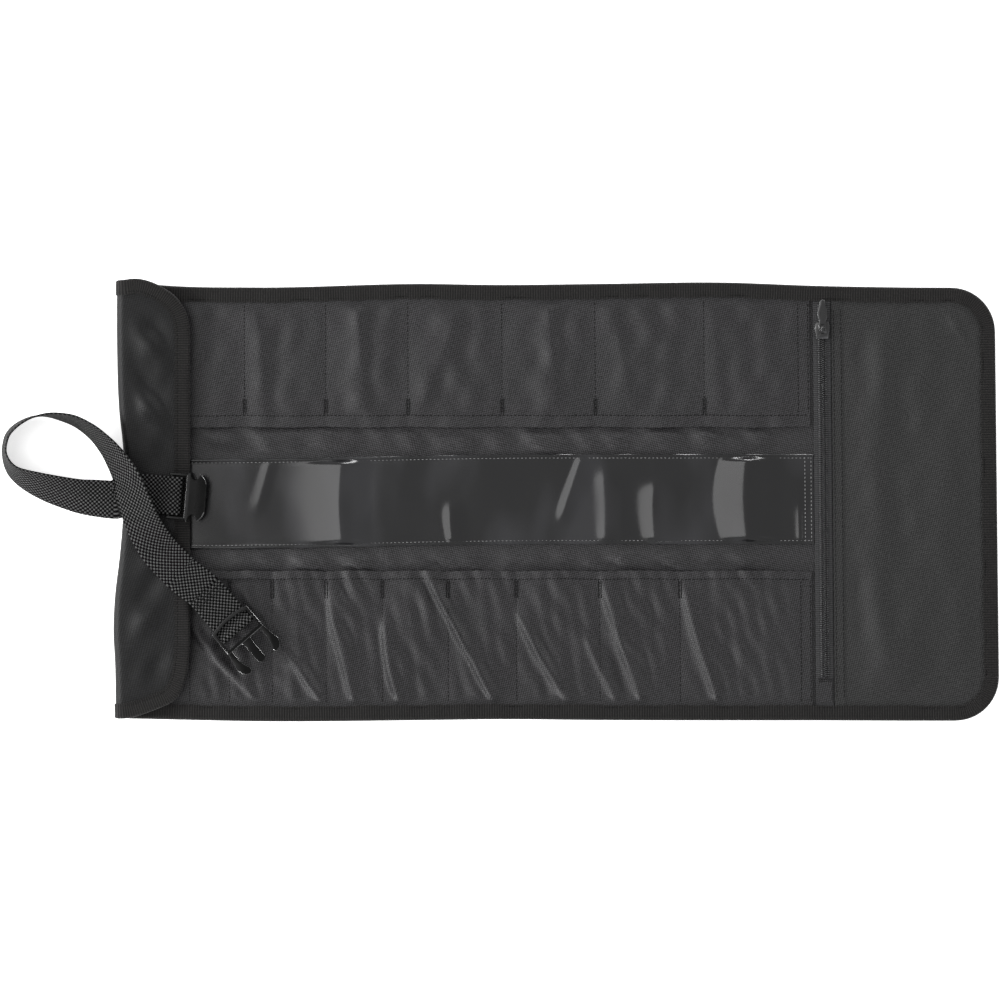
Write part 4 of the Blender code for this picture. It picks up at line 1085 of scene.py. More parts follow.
@dataclass
class PocketRow:
    """A strip of cloth sewn into pockets, with a hemmed mouth, seams and bar tacks."""

    name: str
    node: str
    plan: BagPlan
    finishes: Finishes
    side: Side
    mouth: float
    hem: float
    tack_length: float
    seams: tuple[float, ...]
    folds: tuple[Fold, ...]
    end_seams: tuple[float, float]
    bulge: float
    seed: int
    start: float = 0.014
    end: float = 0.473
    steps: int = 400
    depth_steps: int = 56
    rise: float = 0.030
    sag: float = 0.0007
    flanks: tuple[float, float] = (1.3, 0.5)
    lean: float = 0.47
    crispness: float = 1.9
    most_lift: float = 0.0068

    def edge(self, along: Array) -> Array:
        """The closed end of the pockets, under the tape."""
        line = self.plan.top_edge if self.side is Side.TOP else self.plan.bottom_edge
        return line(along, self.plan.panel_inset)

    def place(self, along: Array, depth: Array) -> Array:
        """Points on the middle of the cloth.

        Args:
            along: distances along the body.
            depth: from the mouth (0) to the closed end (1).

        Returns:
            The points.
        """
        plan = self.plan
        along, depth = np.broadcast_arrays(along, depth)
        closed = self.edge(along)
        span = np.abs(closed - self.mouth)
        wave = self.sag * np.sin(math.pi * self.within(along)) * (1 - depth) ** 3
        y = self.mouth + (closed - self.mouth) * depth - self.side.value * wave
        flat = plan.tape_width / span
        rise = np.sin(math.pi / 2 * np.clip((1 - flat - depth) * span / self.rise, 0, 1))
        puff = np.sin(math.pi * self.within(along)) ** 0.85
        broad = 0.5 + 0.5 * ripple(along, y, 0.07, self.seed, 2.5)
        lift = self.bulge * puff * (0.55 + 0.45 * broad) * rise
        free = ramp((1 - flat - depth) * 14)
        crease = self.creases(along, depth) * free
        across, down = along + self.lean * y, y - self.lean * along
        fine = 0.50 * self.bulge * ripple(across, down, 0.013, self.seed + 1, 3.0) * puff * free
        lift = np.minimum(lift + crease + fine, self.most_lift)
        clear = ramp((along - 0.052) / 0.012) * 0.5 + 0.5
        z = plan.panel_floor + plan.panel_cloth / 2 + lift * clear
        return np.stack([plan.body_x(along, y), y, z], -1)

    def within(self, along: Array) -> Array:
        """The share of the way across its own pocket of each place.

        Args:
            along: distances along the body.

        Returns:
            Shares from 0 to 1.
        """
        marks = np.array(self.seams) * self.plan.length
        k = np.clip(np.searchsorted(marks, along, side="right") - 1, 0, len(marks) - 2)
        return np.clip((along - marks[k]) / (marks[k + 1] - marks[k]), 0, 1)

    def creases(self, along: Array, depth: Array) -> Array:
        """The sharp folds that run down the cloth.

        Args:
            along: distances along the body.
            depth: from the mouth (0) to the closed end (1).

        Returns:
            The folds' heights.
        """
        height = np.zeros(along.shape)
        for fold in self.folds:
            run = (depth - fold.from_depth) / (fold.to_depth - fold.from_depth)
            line = fold.start + (fold.end - fold.start) * np.clip(run, 0, 1.2) ** fold.sweep
            offset = (along - line * self.plan.length) / fold.width
            shape = np.exp(-np.abs(offset * np.where(offset > 0, self.flanks[1], self.flanks[0])) ** 1.6)
            reach = ramp((run + 0.12) / 0.35) * ramp((1.12 - run) / 0.15)
            height += self.crispness * fold.height * shape * reach
        return height

    def build(self) -> None:
        """Makes the cloth and everything sewn on it."""
        plan = self.plan
        along = np.linspace(self.start, self.end, self.steps)[:, None]
        depth = np.linspace(0, 1, self.depth_steps)[None, :]
        grid = self.place(along, depth)
        from_mouth = np.abs(grid[..., 1] - self.mouth)
        doubled = 1 + 0.7 * ramp((self.hem - from_mouth) / 0.0009)
        grid[..., 2] += plan.panel_cloth * (doubled - 1) / 2
        flat = stacked(along, grid[..., 1])
        if self.side is Side.BOTTOM:
            grid, flat, doubled = grid[:, ::-1], flat[:, ::-1], doubled[:, ::-1]
        material = self.finishes.pocket.material
        piece = make_sheet(self.name, grid, plan.panel_cloth * doubled, flat, material)
        place_piece(piece, BAG, Slot.POCKET_CLOTH, self.node)
        self.sew()

    def sew(self) -> None:
        """Stitches the seams, the hem, the end and the bar tacks."""
        plan = self.plan
        plain = self.finishes.needle(2.6 * MM, 2.0 * MM, 0.65 * MM, 0.4 * MM)
        tacks = self.finishes.needle(0.7 * MM, 0.9 * MM, 0.5 * MM, 0.45 * MM)
        top = np.array([0.0, 0.0, plan.panel_cloth / 2])
        full = abs(float(self.edge(np.array([0.3]))[0]) - self.mouth)
        down = np.linspace(0.01, 1 - (plan.tape_width + 0.0005) / full, 60)
        tack = np.linspace(0.004, self.tack_length / full, 30)
        for seam in self.seams[:-1]:
            at = seam * plan.length
            plain.sew(self.place(np.array([at]), down) + top)
            for offset in (-0.0008, 0.0009):
                tacks.sew(self.place(np.array([at + offset]), tack) + top * 1.9)
        for offset in self.end_seams:
            plain.sew(self.place(np.array([offset]), down) + top)
        along = np.linspace(self.start + 0.001, self.end - 0.002, 400)
        plain.sew(self.place(along, np.full(400, (self.hem - 0.0012) / full)) + top * 2.4)
        plain.finish(f"{self.name}_stitches", Slot.POCKET_CLOTH)
        tacks.finish(f"{self.name}_bar_tacks", Slot.POCKET_CLOTH)


@dataclass(frozen=True)
class Buckle:
    """One buckle of the film: a long slope facing the near end, a crest and a shorter back.

    The places are distances along the bag from its middle; low and high are across the film.
    """

    start: float
    crest: float
    end: float
    height: float
    low: float = -0.3
    high: float = 1.3
    tilt: float = 0.0
    bend: float = 1.5
    taper: float = 0.004

    def lift(self, x: Array, share: Array) -> Array:
        """The buckle's height.

        Args:
            x: places along the bag, from its middle.
            share: places across the film, from its lower edge (0) to its upper edge (1).

        Returns:
            The height at each place.
        """
        x = x - self.tilt * (share - 0.5) - 0.0012 * np.sin(4.0 * share + 90.0 * self.crest)
        start = self.start + self.taper * (2 * share - 1) ** 2
        up = np.clip((x - start) / (self.crest - start), 0, None) ** self.bend
        down = (self.end - x) / (self.end - self.crest)
        low = ramp((share - self.low) / 0.24 + 0.5)
        high = ramp((self.high - share) / 0.24 + 0.5)
        return self.height * np.clip(np.minimum(up, ramp(down)), 0, 1) * low * high


@dataclass
class ClearWindow:
    """The clear film between the rows, slack enough to buckle into glossy waves."""

    plan: BagPlan
    finishes: Finishes
    start: float = 0.018
    end: float = 0.4749
    low: float = -0.0300
    high: float = 0.0310
    drift: float = 0.0034
    film: float = 0.0006
    bead: float = 0.0008
    bead_width: float = 0.0009
    seam_inset: float = 0.0024
    unevenness: float = 0.0002
    steps: int = 700
    columns: int = 44
    buckles: tuple[Buckle, ...] = (
        Buckle(-0.1720, -0.1640, -0.1560, 0.0004, low=0.45, tilt=0.012),
        Buckle(-0.1550, -0.1085, -0.0860, 0.0040, bend=2.7),
        Buckle(-0.0385, -0.0332, -0.0190, 0.0009, high=0.42),
        Buckle(0.0408, 0.0462, 0.0590, 0.0010, low=0.30, tilt=0.016),
        Buckle(0.0618, 0.0712, 0.0900, 0.0010, high=0.80, bend=1.4),
        Buckle(0.0925, 0.1058, 0.1290, 0.0017, high=0.66),
        Buckle(0.1465, 0.1680, 0.1950, 0.0034, bend=1.0),
        Buckle(0.1975, 0.2068, 0.2120, 0.0012, high=0.44),
    )

    def bounds(self, along: Array) -> tuple[Array, Array]:
        """The film's lower and upper edges.

        Args:
            along: distances along the body.

        Returns:
            Their places across the bag.
        """
        share = (along - self.start) / (self.end - self.start)
        drift = -self.drift * ramp((0.62 - share) / 0.55)
        return self.low + drift, self.high + drift

    def waves(self, along: Array, share: Array) -> Array:
        """The height of the film's buckles above its sewn edges.

        Args:
            along: distances along the body.
            share: from the lower edge (0) to the upper edge (1).

        Returns:
            The heights.
        """
        x = self.plan.fold + along
        height = smoothed(sum(buckle.lift(x, share) for buckle in self.buckles), 5)
        height += self.unevenness * (1 + ripple(along, share * 0.06, 0.05, 21, 1.5))
        ends = ramp((along - self.start) / 0.006) * ramp((self.end - 0.0065 - along) / 0.004)
        sewn = ramp((share - 0.02) / 0.055) * ramp((0.98 - share) / 0.055)
        return height * ends * sewn

    def build(self) -> None:
        """Makes the film, with its rolled border, and its stitching."""
        plan = self.plan
        along = np.linspace(self.start, self.end, self.steps)[:, None]
        border = np.array([0.0, 0.004, 0.009, 0.015, 0.022, 0.03])
        share = np.concatenate([border, np.linspace(0.04, 0.96, self.columns), 1 - border[::-1]])[None, :]
        low, high = self.bounds(along)
        y = low + (high - low) * share
        z = plan.panel_floor + self.film / 2 + self.waves(along, share)
        inside = np.minimum(y - low, high - y) + np.zeros_like(along)
        roll = np.exp(-(((inside - self.bead_width) / self.bead_width) ** 2))
        rolled = self.bead * (0.75 + 0.35 * ripple(along, y, 0.05, 23)) * roll
        z = z + rolled / 2
        grid = stacked(plan.body_x(along, y), y, z)
        flat = stacked(along, y)
        material = self.finishes.film.material
        piece = make_sheet("clear_film", grid, self.film + rolled, flat, material)
        place_piece(piece, BAG, Slot.FILM, "clear_window")
        # Light grey thread: a painted highlight on the window's stitches.
        thread = self.finishes.highlit_window_thread.material
        needle = Needle(thread, 2.7 * MM, 1.5 * MM, 0.6 * MM, 0.5 * MM)
        along = np.linspace(self.start + 0.002, self.end - 0.002, 300)
        low, high = self.bounds(along)
        level = plan.panel_floor + self.film
        for y in (low + self.seam_inset, high - self.seam_inset):
            needle.sew(stacked(plan.body_x(along, y), y, level))
        for inset in (0.0016, 0.0058):
            y = np.linspace(float(low[-1]) + 0.001, float(high[-1]) - 0.001, 40)
            needle.sew(stacked(plan.body_x(np.full(40, self.end - inset), y), y, level))
        needle.finish("clear_film_stitches", Slot.FILM)


@dataclass
class EndPanel:
    """The cloth of the zipped pocket: slack, with its sewn edge beside the zip."""

    plan: BagPlan
    finishes: Finishes
    start: float = 0.48805
    bulge: float = 0.0026
    steps: int = 110
    columns: int = 240
    corner_steps: int = 16
    creasing: float = 0.00035
    tuck: float = 0.0012
    most_lift: float = 0.0036

    def place(self, along: Array, share: Array) -> Array:
        """Points on the middle of the cloth.

        Args:
            along: distances along the body.
            share: from the bottom edge (0) to the top edge (1).

        Returns:
            The points.
        """
        plan = self.plan
        low, high = plan.edges_at(along, plan.panel_inset)
        y = low + (high - low) * share
        inside = np.minimum(np.minimum(y - low, high - y), plan.length - along - plan.panel_inset)
        free = ramp((inside - plan.tape_width) / 0.035) * ramp((along - self.start - 0.006) / 0.030)
        soft = 0.55 + 0.45 * ripple(along, y, 0.045, 31, 4.0)
        small = self.creasing * ripple(along, y, 0.022, 32, 1.6)
        tuck = self.tuck * np.exp(-(((along - 0.574 + (y - 0.118) * 0.55) / 0.0035) ** 2))
        tuck = tuck * ramp((y - 0.100) / 0.012) * ramp((0.136 - y) / 0.006)
        lift = self.bulge * soft * free + (small + tuck) * np.minimum(free * 3, 1.0)
        lift = np.clip(lift, 0, self.most_lift)
        z = plan.panel_floor + plan.panel_cloth / 2 + lift
        return stacked(plan.body_x(along, y), y, z)

    def build(self) -> None:
        """Makes the cloth and its two lines of stitches."""
        plan = self.plan
        corner = plan.corner_stations(plan.panel_inset, self.corner_steps)[::-1]
        straight = np.linspace(self.start, corner[0], self.steps)[:-1]
        along = np.concatenate([straight, corner])[:, None]
        grid = self.place(along, np.linspace(0, 1, self.columns)[None, :])
        turned_in = 1 + 0.6 * ramp((self.start + 0.0075 - along) / 0.0008)
        grid[..., 2] += plan.panel_cloth * (turned_in - 1) / 2
        flat = stacked(along, grid[..., 1])
        material = self.finishes.panel.material
        piece = make_sheet("end_pocket_cloth", grid, plan.panel_cloth * turned_in, flat, material)
        place_piece(piece, BAG, Slot.POCKET_CLOTH, "zip_pocket_panel")
        needle = self.finishes.needle(2.8 * MM, 2.0 * MM)
        for inset in (0.0014, 0.0064):
            line = self.place(np.array([self.start + inset]), np.linspace(0.045, 0.955, 200))
            needle.sew(line + [0, 0, plan.panel_cloth * 1.12])
        needle.finish("end_pocket_stitches", Slot.POCKET_CLOTH)


# Hard pieces, modelled at the bench


def lay_down_tools() -> None:
    """Leaves edit mode and clears the selection."""
    if bpy.context.object and bpy.context.object.mode != "OBJECT":
        bpy.ops.object.mode_set(mode="OBJECT")
    bpy.ops.object.select_all(action="DESELECT")


@dataclass
class Bench:
    """Models one hard piece with the usual hand tools."""

    piece: Object

    @classmethod
    def block(cls, outline: Outline, bottom: float, top: float) -> Bench:
        """Starts from a disc whose rim is dragged to an outline, then pulled up to its height.

        Args:
            outline: the plan points, in order round the piece.
            bottom: the height of the lower face.
            top: the height of the upper face.

        Returns:
            The bench with the new piece on it.
        """
        lay_down_tools()
        bpy.ops.mesh.primitive_circle_add(vertices=len(outline), radius=0.01, fill_type="NGON")
        bench = cls(bpy.context.object)
        for vertex, (x, y) in zip(bench.piece.data.vertices, outline):
            vertex.co = (x, y, bottom)
        bpy.ops.object.mode_set(mode="EDIT")
        bpy.ops.mesh.select_all(action="SELECT")
        bpy.ops.mesh.extrude_region_move(TRANSFORM_OT_translate={"value": (0.0, 0.0, top - bottom)})
        bench.face_out()
        return bench

    @classmethod
    def bar(cls, along: float, reach: float, height: float, radius: float) -> Bench:
        """A round bar that lies across a piece, as far to the left as to the right.

        Args:
            along: its place along the piece.
            reach: half its length.
            height: the height of its axis.
            radius: its radius.

        Returns:
            The bench with the bar on it.
        """
        lay_down_tools()
        bpy.ops.mesh.primitive_cylinder_add(vertices=20, radius=radius, depth=2 * reach)
        bench = cls(bpy.context.object)
        lying = Matrix.Rotation(-math.pi / 2, 4, "X")
        bench.piece.data.transform(Matrix.Translation((along, 0, height)) @ lying)
        return bench

    def turn(self, angle: float, axis: str) -> Bench:
        """Turns the whole piece about the origin.

        Args:
            angle: the angle in degrees.
            axis: "X", "Y" or "Z".

        Returns:
            The bench itself.
        """
        self.piece.data.transform(Matrix.Rotation(math.radians(angle), 4, axis))
        return self

    def soften(self, width: float, segments: int = 3, angle: float = 30.0) -> Bench:
        """Rounds every edge sharper than an angle.

        Args:
            width: the bevel's width.
            segments: how many faces it has.
            angle: the angle in degrees.

        Returns:
            The bench itself.
        """
        bevel = self.piece.modifiers.new("soften", "BEVEL")
        bevel.width = width
        bevel.segments = segments
        bevel.limit_method = "ANGLE"
        bevel.angle_limit = math.radians(angle)
        bevel.harden_normals = False
        self.apply(bevel)
        return self

    def combine(self, other: Bench, operation: str = "UNION") -> Bench:
        """Joins another piece on, or cuts it away.

        Args:
            other: the bench with the other piece, which is used up.
            operation: the Boolean's operation.

        Returns:
            The bench itself.
        """
        boolean = self.piece.modifiers.new("combine", "BOOLEAN")
        boolean.operation = operation
        boolean.solver = "EXACT"
        boolean.object = other.piece
        self.apply(boolean)
        bpy.data.objects.remove(other.piece, do_unlink=True)
        return self

    def cut(self, other: Bench) -> Bench:
        """Cuts another piece's shape away."""
        return self.combine(other, "DIFFERENCE")

    def face_out(self) -> None:
        """Turns every face of the piece outwards and leaves edit mode."""
        bpy.ops.mesh.select_all(action="SELECT")
        bpy.ops.mesh.normals_make_consistent(inside=False)
        bpy.ops.object.mode_set(mode="OBJECT")

    def pick_up(self) -> None:
        """Makes the piece the only one selected, and the active one."""
        lay_down_tools()
        bpy.context.view_layer.objects.active = self.piece
        self.piece.select_set(True)

    def apply(self, modifier: bpy.types.Modifier) -> None:
        """Applies a modifier to the piece."""
        self.pick_up()
        bpy.ops.object.modifier_apply(modifier=modifier.name)

    def finish(
        self,
        name: str,
        material: Material,
        place: Matrix,
        edges: Material | None = None,
        edges_from: tuple[float, float] = (-1.0, 0.0),
    ) -> Object:
        """Names and dresses the piece and puts its mesh in its place.

        Args:
            name: the object's name.
            material: its finish.
            place: where the mesh goes, in the bag's frame.
            edges: the finish of its rounded upper edges, lighter and glossier: a painted highlight.
            edges_from: how far along it, and out from its middle, the edges with the painted highlight
                start.

        Returns:
            The object, at the origin.
        """
        piece = self.piece
        piece.name = name
        piece.data.name = name
        piece.data.materials.clear()
        piece.data.materials.append(material)
        piece.data.transform(place)
        self.pick_up()
        bpy.ops.object.mode_set(mode="EDIT")
        bpy.ops.mesh.select_all(action="SELECT")
        bpy.ops.mesh.remove_doubles(threshold=0.000005)
        self.face_out()
        bpy.ops.object.shade_smooth_by_angle(angle=math.radians(40))
        # Upper bevel faces, found by which way they face, take the lighter edge finish: a painted
        # highlight.
        if edges:
            piece.data.materials.append(edges)
            back = place.inverted()
            for face in piece.data.polygons:
                near = back @ face.center
                painted_reflection_zone = near.x > edges_from[0] and abs(near.y) > edges_from[1]
                if 0.3 < face.normal.z < 0.9 and painted_reflection_zone:
                    face.material_index = 1
        return piece


def mirrored(outline: Outline) -> Outline:
    """An outline of which one half is given, closed by its mirror image."""
    return outline + [(along, -sideways) for along, sideways in reversed(outline)]


def rectangle(start: float, end: float, half: float) -> Outline:
    """A rectangle from start to end, as wide to the left of the middle as to the right."""
    return [(start, -half), (end, -half), (end, half), (start, half)]


def set_down(x: float, y: float, z: float, turn: float) -> Matrix:
    """The place of a piece turned in plan, in degrees."""
    return Matrix.Translation((x, y, z)) @ Matrix.Rotation(math.radians(turn), 4, "Z")


@dataclass
class Zip:
    """The zip: its knitted tape, coil, stop patch, slider and pull."""

    plan: BagPlan
    finishes: Finishes
    line: float = 0.4815
    opening: float = 0.0125
    tape: float = 0.0007
    thinner: float = 0.0001
    slack: float = 0.00012
    coil_width: float = 0.0064
    coil_height: float = 0.0020
    coil_pitch: float = 1.45 * MM
    coil_bottom: float = 0.100
    patch_length: float = 0.0185
    patch_width: float = 0.0092
    slider_from_top: float = 0.03025
    slider_length: float = 0.0120
    slider_width: float = 0.0102
    plate: float = 0.0012
    pin: float = 0.0007
    pull_length: float = 0.0205
    pull_width: float = 0.0068
    bridge: float = 0.0011

    def __post_init__(self) -> None:
        """Works out the heights and ends that the pieces share."""
        plan = self.plan
        ends = plan.edges_at(np.array([self.line]), plan.panel_inset)
        self.low, self.high = (float(end[0]) for end in ends)
        self.base = plan.panel_floor + self.tape + plan.gap
        self.coil_low = plan.bottom + self.coil_bottom * plan.width
        self.coil_high = self.high - plan.tape_width - plan.gap
        self.slider_y = plan.top - self.slider_from_top
        self.plate_top = self.base + self.coil_height + plan.gap + self.plate
        self.axis_z = self.plate_top + plan.gap + self.pin

    def x(self, y: Array | float) -> Array:
        """The zip's line, which leans as the far end does."""
        return self.plan.body_x(np.array(self.line), np.asarray(y))

    def build(self) -> None:
        """Makes every piece of the zip."""
        self.build_tape()
        self.build_coil()
        self.build_patch()
        self.build_slider()
        self.build_pull()

    def strip(
        self, name: str, width: float, ends: tuple[float, float], z: float, thick: float, material: Material
    ) -> Object:
        """A strip of cloth along the zip, a little slack.

        Args:
            name: the object's name.
            width: its width.
            ends: where it starts and ends across the bag.
            z: the height of its underside.
            thick: its thickness.
            material: its finish.

        Returns:
            The strip.
        """
        low, high = ends
        y = np.linspace(low, high, 160)[:, None]
        across = np.linspace(1, -1, 13)[None, :] * width / 2
        ends = ramp((y - low) / 0.004) * ramp((high - y) / 0.004)
        rise = self.slack * (1 + ripple(across, y, 0.016, 41)) * ends
        grid = stacked(self.x(y) + across, y, z + thick / 2 + rise)
        return make_sheet(name, grid, thick, stacked(across, y), material)

    def build_tape(self) -> None:
        """The knitted tape under the coil."""
        width, ends = self.opening - 2 * self.plan.gap, (self.low, self.high)
        thick, material = self.tape - self.thinner, self.finishes.zip_tape.material
        piece = self.strip("zip_cloth", width, ends, self.plan.panel_floor, thick, material)
        place_piece(piece, BAG, Slot.ZIP_CLOTH, "zip_tape")

    def build_coil(self) -> None:
        """The closed coil: one loop of nylon modelled and copied down both halves, and its stitches."""
        wide, pitch, tall = self.coil_width, self.coil_pitch, self.coil_height
        lay_down_tools()
        bpy.ops.mesh.primitive_torus_add(
            major_segments=10, minor_segments=5, major_radius=0.5, minor_radius=0.19
        )
        shape, faces = take_model()
        loop = shape[:, [1, 2, 0]] * [wide * 0.42, pitch * 1.05, tall * 0.68]
        points = []
        for k in range(int((self.coil_high - self.coil_low) / pitch)):
            y = self.coil_low + (k + 0.5) * pitch
            for side in (-1, 1):
                leaning = loop.copy()
                leaning[:, 1] += side * leaning[:, 0] * 0.16
                x = float(self.x(y)) + side * wide * 0.215
                points.append(leaning + [x, y + side * pitch / 4, self.base + tall * 0.48])
        copies = repeated(faces, len(shape), len(points))
        material = self.finishes.coil.material
        piece = mesh_piece("zip_coil_loops", np.concatenate(points), copies, material, sharp=180.0)
        face_outwards(piece)
        place_piece(piece, BAG, Slot.ZIP_PLASTIC, "zip_coil")
        needle = self.finishes.needle(1.45 * MM, 1.3 * MM, 0.6 * MM, 0.4 * MM)
        y = np.linspace(self.coil_low, self.coil_high, 100)
        for side in (-1, 1):
            needle.sew(stacked(self.x(y) + side * wide * 0.22, y, self.base + tall * 0.9))
        needle.finish("zip_coil_stitches", Slot.ZIP_CLOTH)

    def build_patch(self) -> None:
        """The plain cloth over the zip's lower end, with a row of stitches at its top."""
        plan = self.plan
        top = self.coil_low - plan.gap
        low = max(top - self.patch_length, self.low + plan.tape_width + plan.gap)
        material = self.finishes.pocket.material
        piece = self.strip("zip_end_cloth", self.patch_width, (low, top), self.base, self.tape, material)
        place_piece(piece, BAG, Slot.POCKET_CLOTH, "zip_stop_patch")
        needle = self.finishes.needle(1.6 * MM, 1.3 * MM, 0.6 * MM, 0.5 * MM)
        x = np.linspace(-self.patch_width / 2, self.patch_width / 2, 20) + float(self.x(top))
        for inset in (0.0010, 0.0024):
            needle.sew(stacked(x, top - inset, self.base + self.tape * 1.35))
        needle.finish("zip_end_stitches", Slot.POCKET_CLOTH)

    def build_slider(self) -> None:
        """The slider: a waisted shield with side flanges and a bridge for the pull."""
        half, wide = self.slider_length / 2, self.slider_width / 2
        shield = mirrored(
            [
                (-half, wide * 0.80),
                (-half * 0.4, wide * 0.86),
                (0.0, wide * 0.98),
                (half * 0.55, wide),
                (half * 0.85, wide * 0.82),
                (half, wide * 0.45),
            ]
        )
        floor = self.base - self.plate_top
        body = Bench.block(shield, floor, 0.0).soften(0.00045)
        tunnel = rectangle(-half * 2, half * 2, self.coil_width / 2 + self.plan.gap)
        body.cut(Bench.block(tunnel, floor - 0.001, -self.plate))
        profile = arched(0.0026, self.pin + self.plan.gap, 0.0009, 0.0014)
        bridge = Bench.block(profile, -self.bridge, self.bridge).soften(0.0003).turn(90, "X")
        bridge.piece.data.transform(Matrix.Translation((0, 0, self.axis_z - self.plate_top)))
        body.combine(bridge)
        place = set_down(float(self.x(self.slider_y)), self.slider_y, self.plate_top, 90)
        piece = body.finish("zip_slider_casting", self.finishes.zinc.material, place)
        place_piece(piece, BAG, Slot.ZIP_METAL, "zip_slider")

    def build_pull(self) -> None:
        """The pull: an eye round the bridge, a waisted neck and a grip with a sunk slot."""
        eye_half, eye_end = self.bridge + self.plan.gap, 0.0040
        arm, blade, pin = eye_half + self.pin * 1.8, self.pull_width / 2, self.pin
        long = self.pull_length
        outline = mirrored(
            [
                (-pin * 0.7, arm * 0.8),
                (pin, arm),
                (eye_end, arm),
                (0.0062, blade * 0.62),
                (0.0080, blade * 0.95),
                (long * 0.55, blade),
                (long * 0.70, blade * 0.92),
                (long * 0.78, blade * 0.62),
                (long * 0.93, blade * 0.60),
                (long, blade * 0.32),
            ]
        )
        body = Bench.block(outline, -pin, pin).soften(0.0004)
        body.cut(Bench.block(rectangle(pin * 0.7, eye_end, eye_half), -0.002, 0.002))
        slot = mirrored([(0.0092, blade * 0.50), (long * 0.52, blade * 0.55), (long * 0.62, blade * 0.35)])
        body.cut(Bench.block(slot, pin * 0.55, 0.002))
        place = set_down(float(self.x(self.slider_y)), self.slider_y, self.axis_z, 90)
        piece = body.finish("zip_pull_tab", self.finishes.zinc.material, place)
        place_piece(piece, PULL, Slot.ZIP_METAL, "zip_pull")


def arched(reach: float, arch: float, band: float, foot: float) -> Outline:
    """The side view of a small arched bridge.

    Args:
        reach: half its length.
        arch: the height of its clear space above the pin's axis.
        band: how thick it is.
        foot: how far below the axis its feet go.

    Returns:
        The outline, in order.
    """
    outer = [(reach, -foot), (reach, arch * 0.6), (reach * 0.72, arch + band * 0.75)]
    outer.append((reach * 0.35, arch + band))
    inner = [(reach * 0.4, arch), (reach - band, arch * 0.5), (reach - band, -foot)]
    left = [(-x, z) for x, z in reversed(outer)]
    left_inside = [(-x, z) for x, z in reversed(inner)]
    return outer + left + left_inside + inner


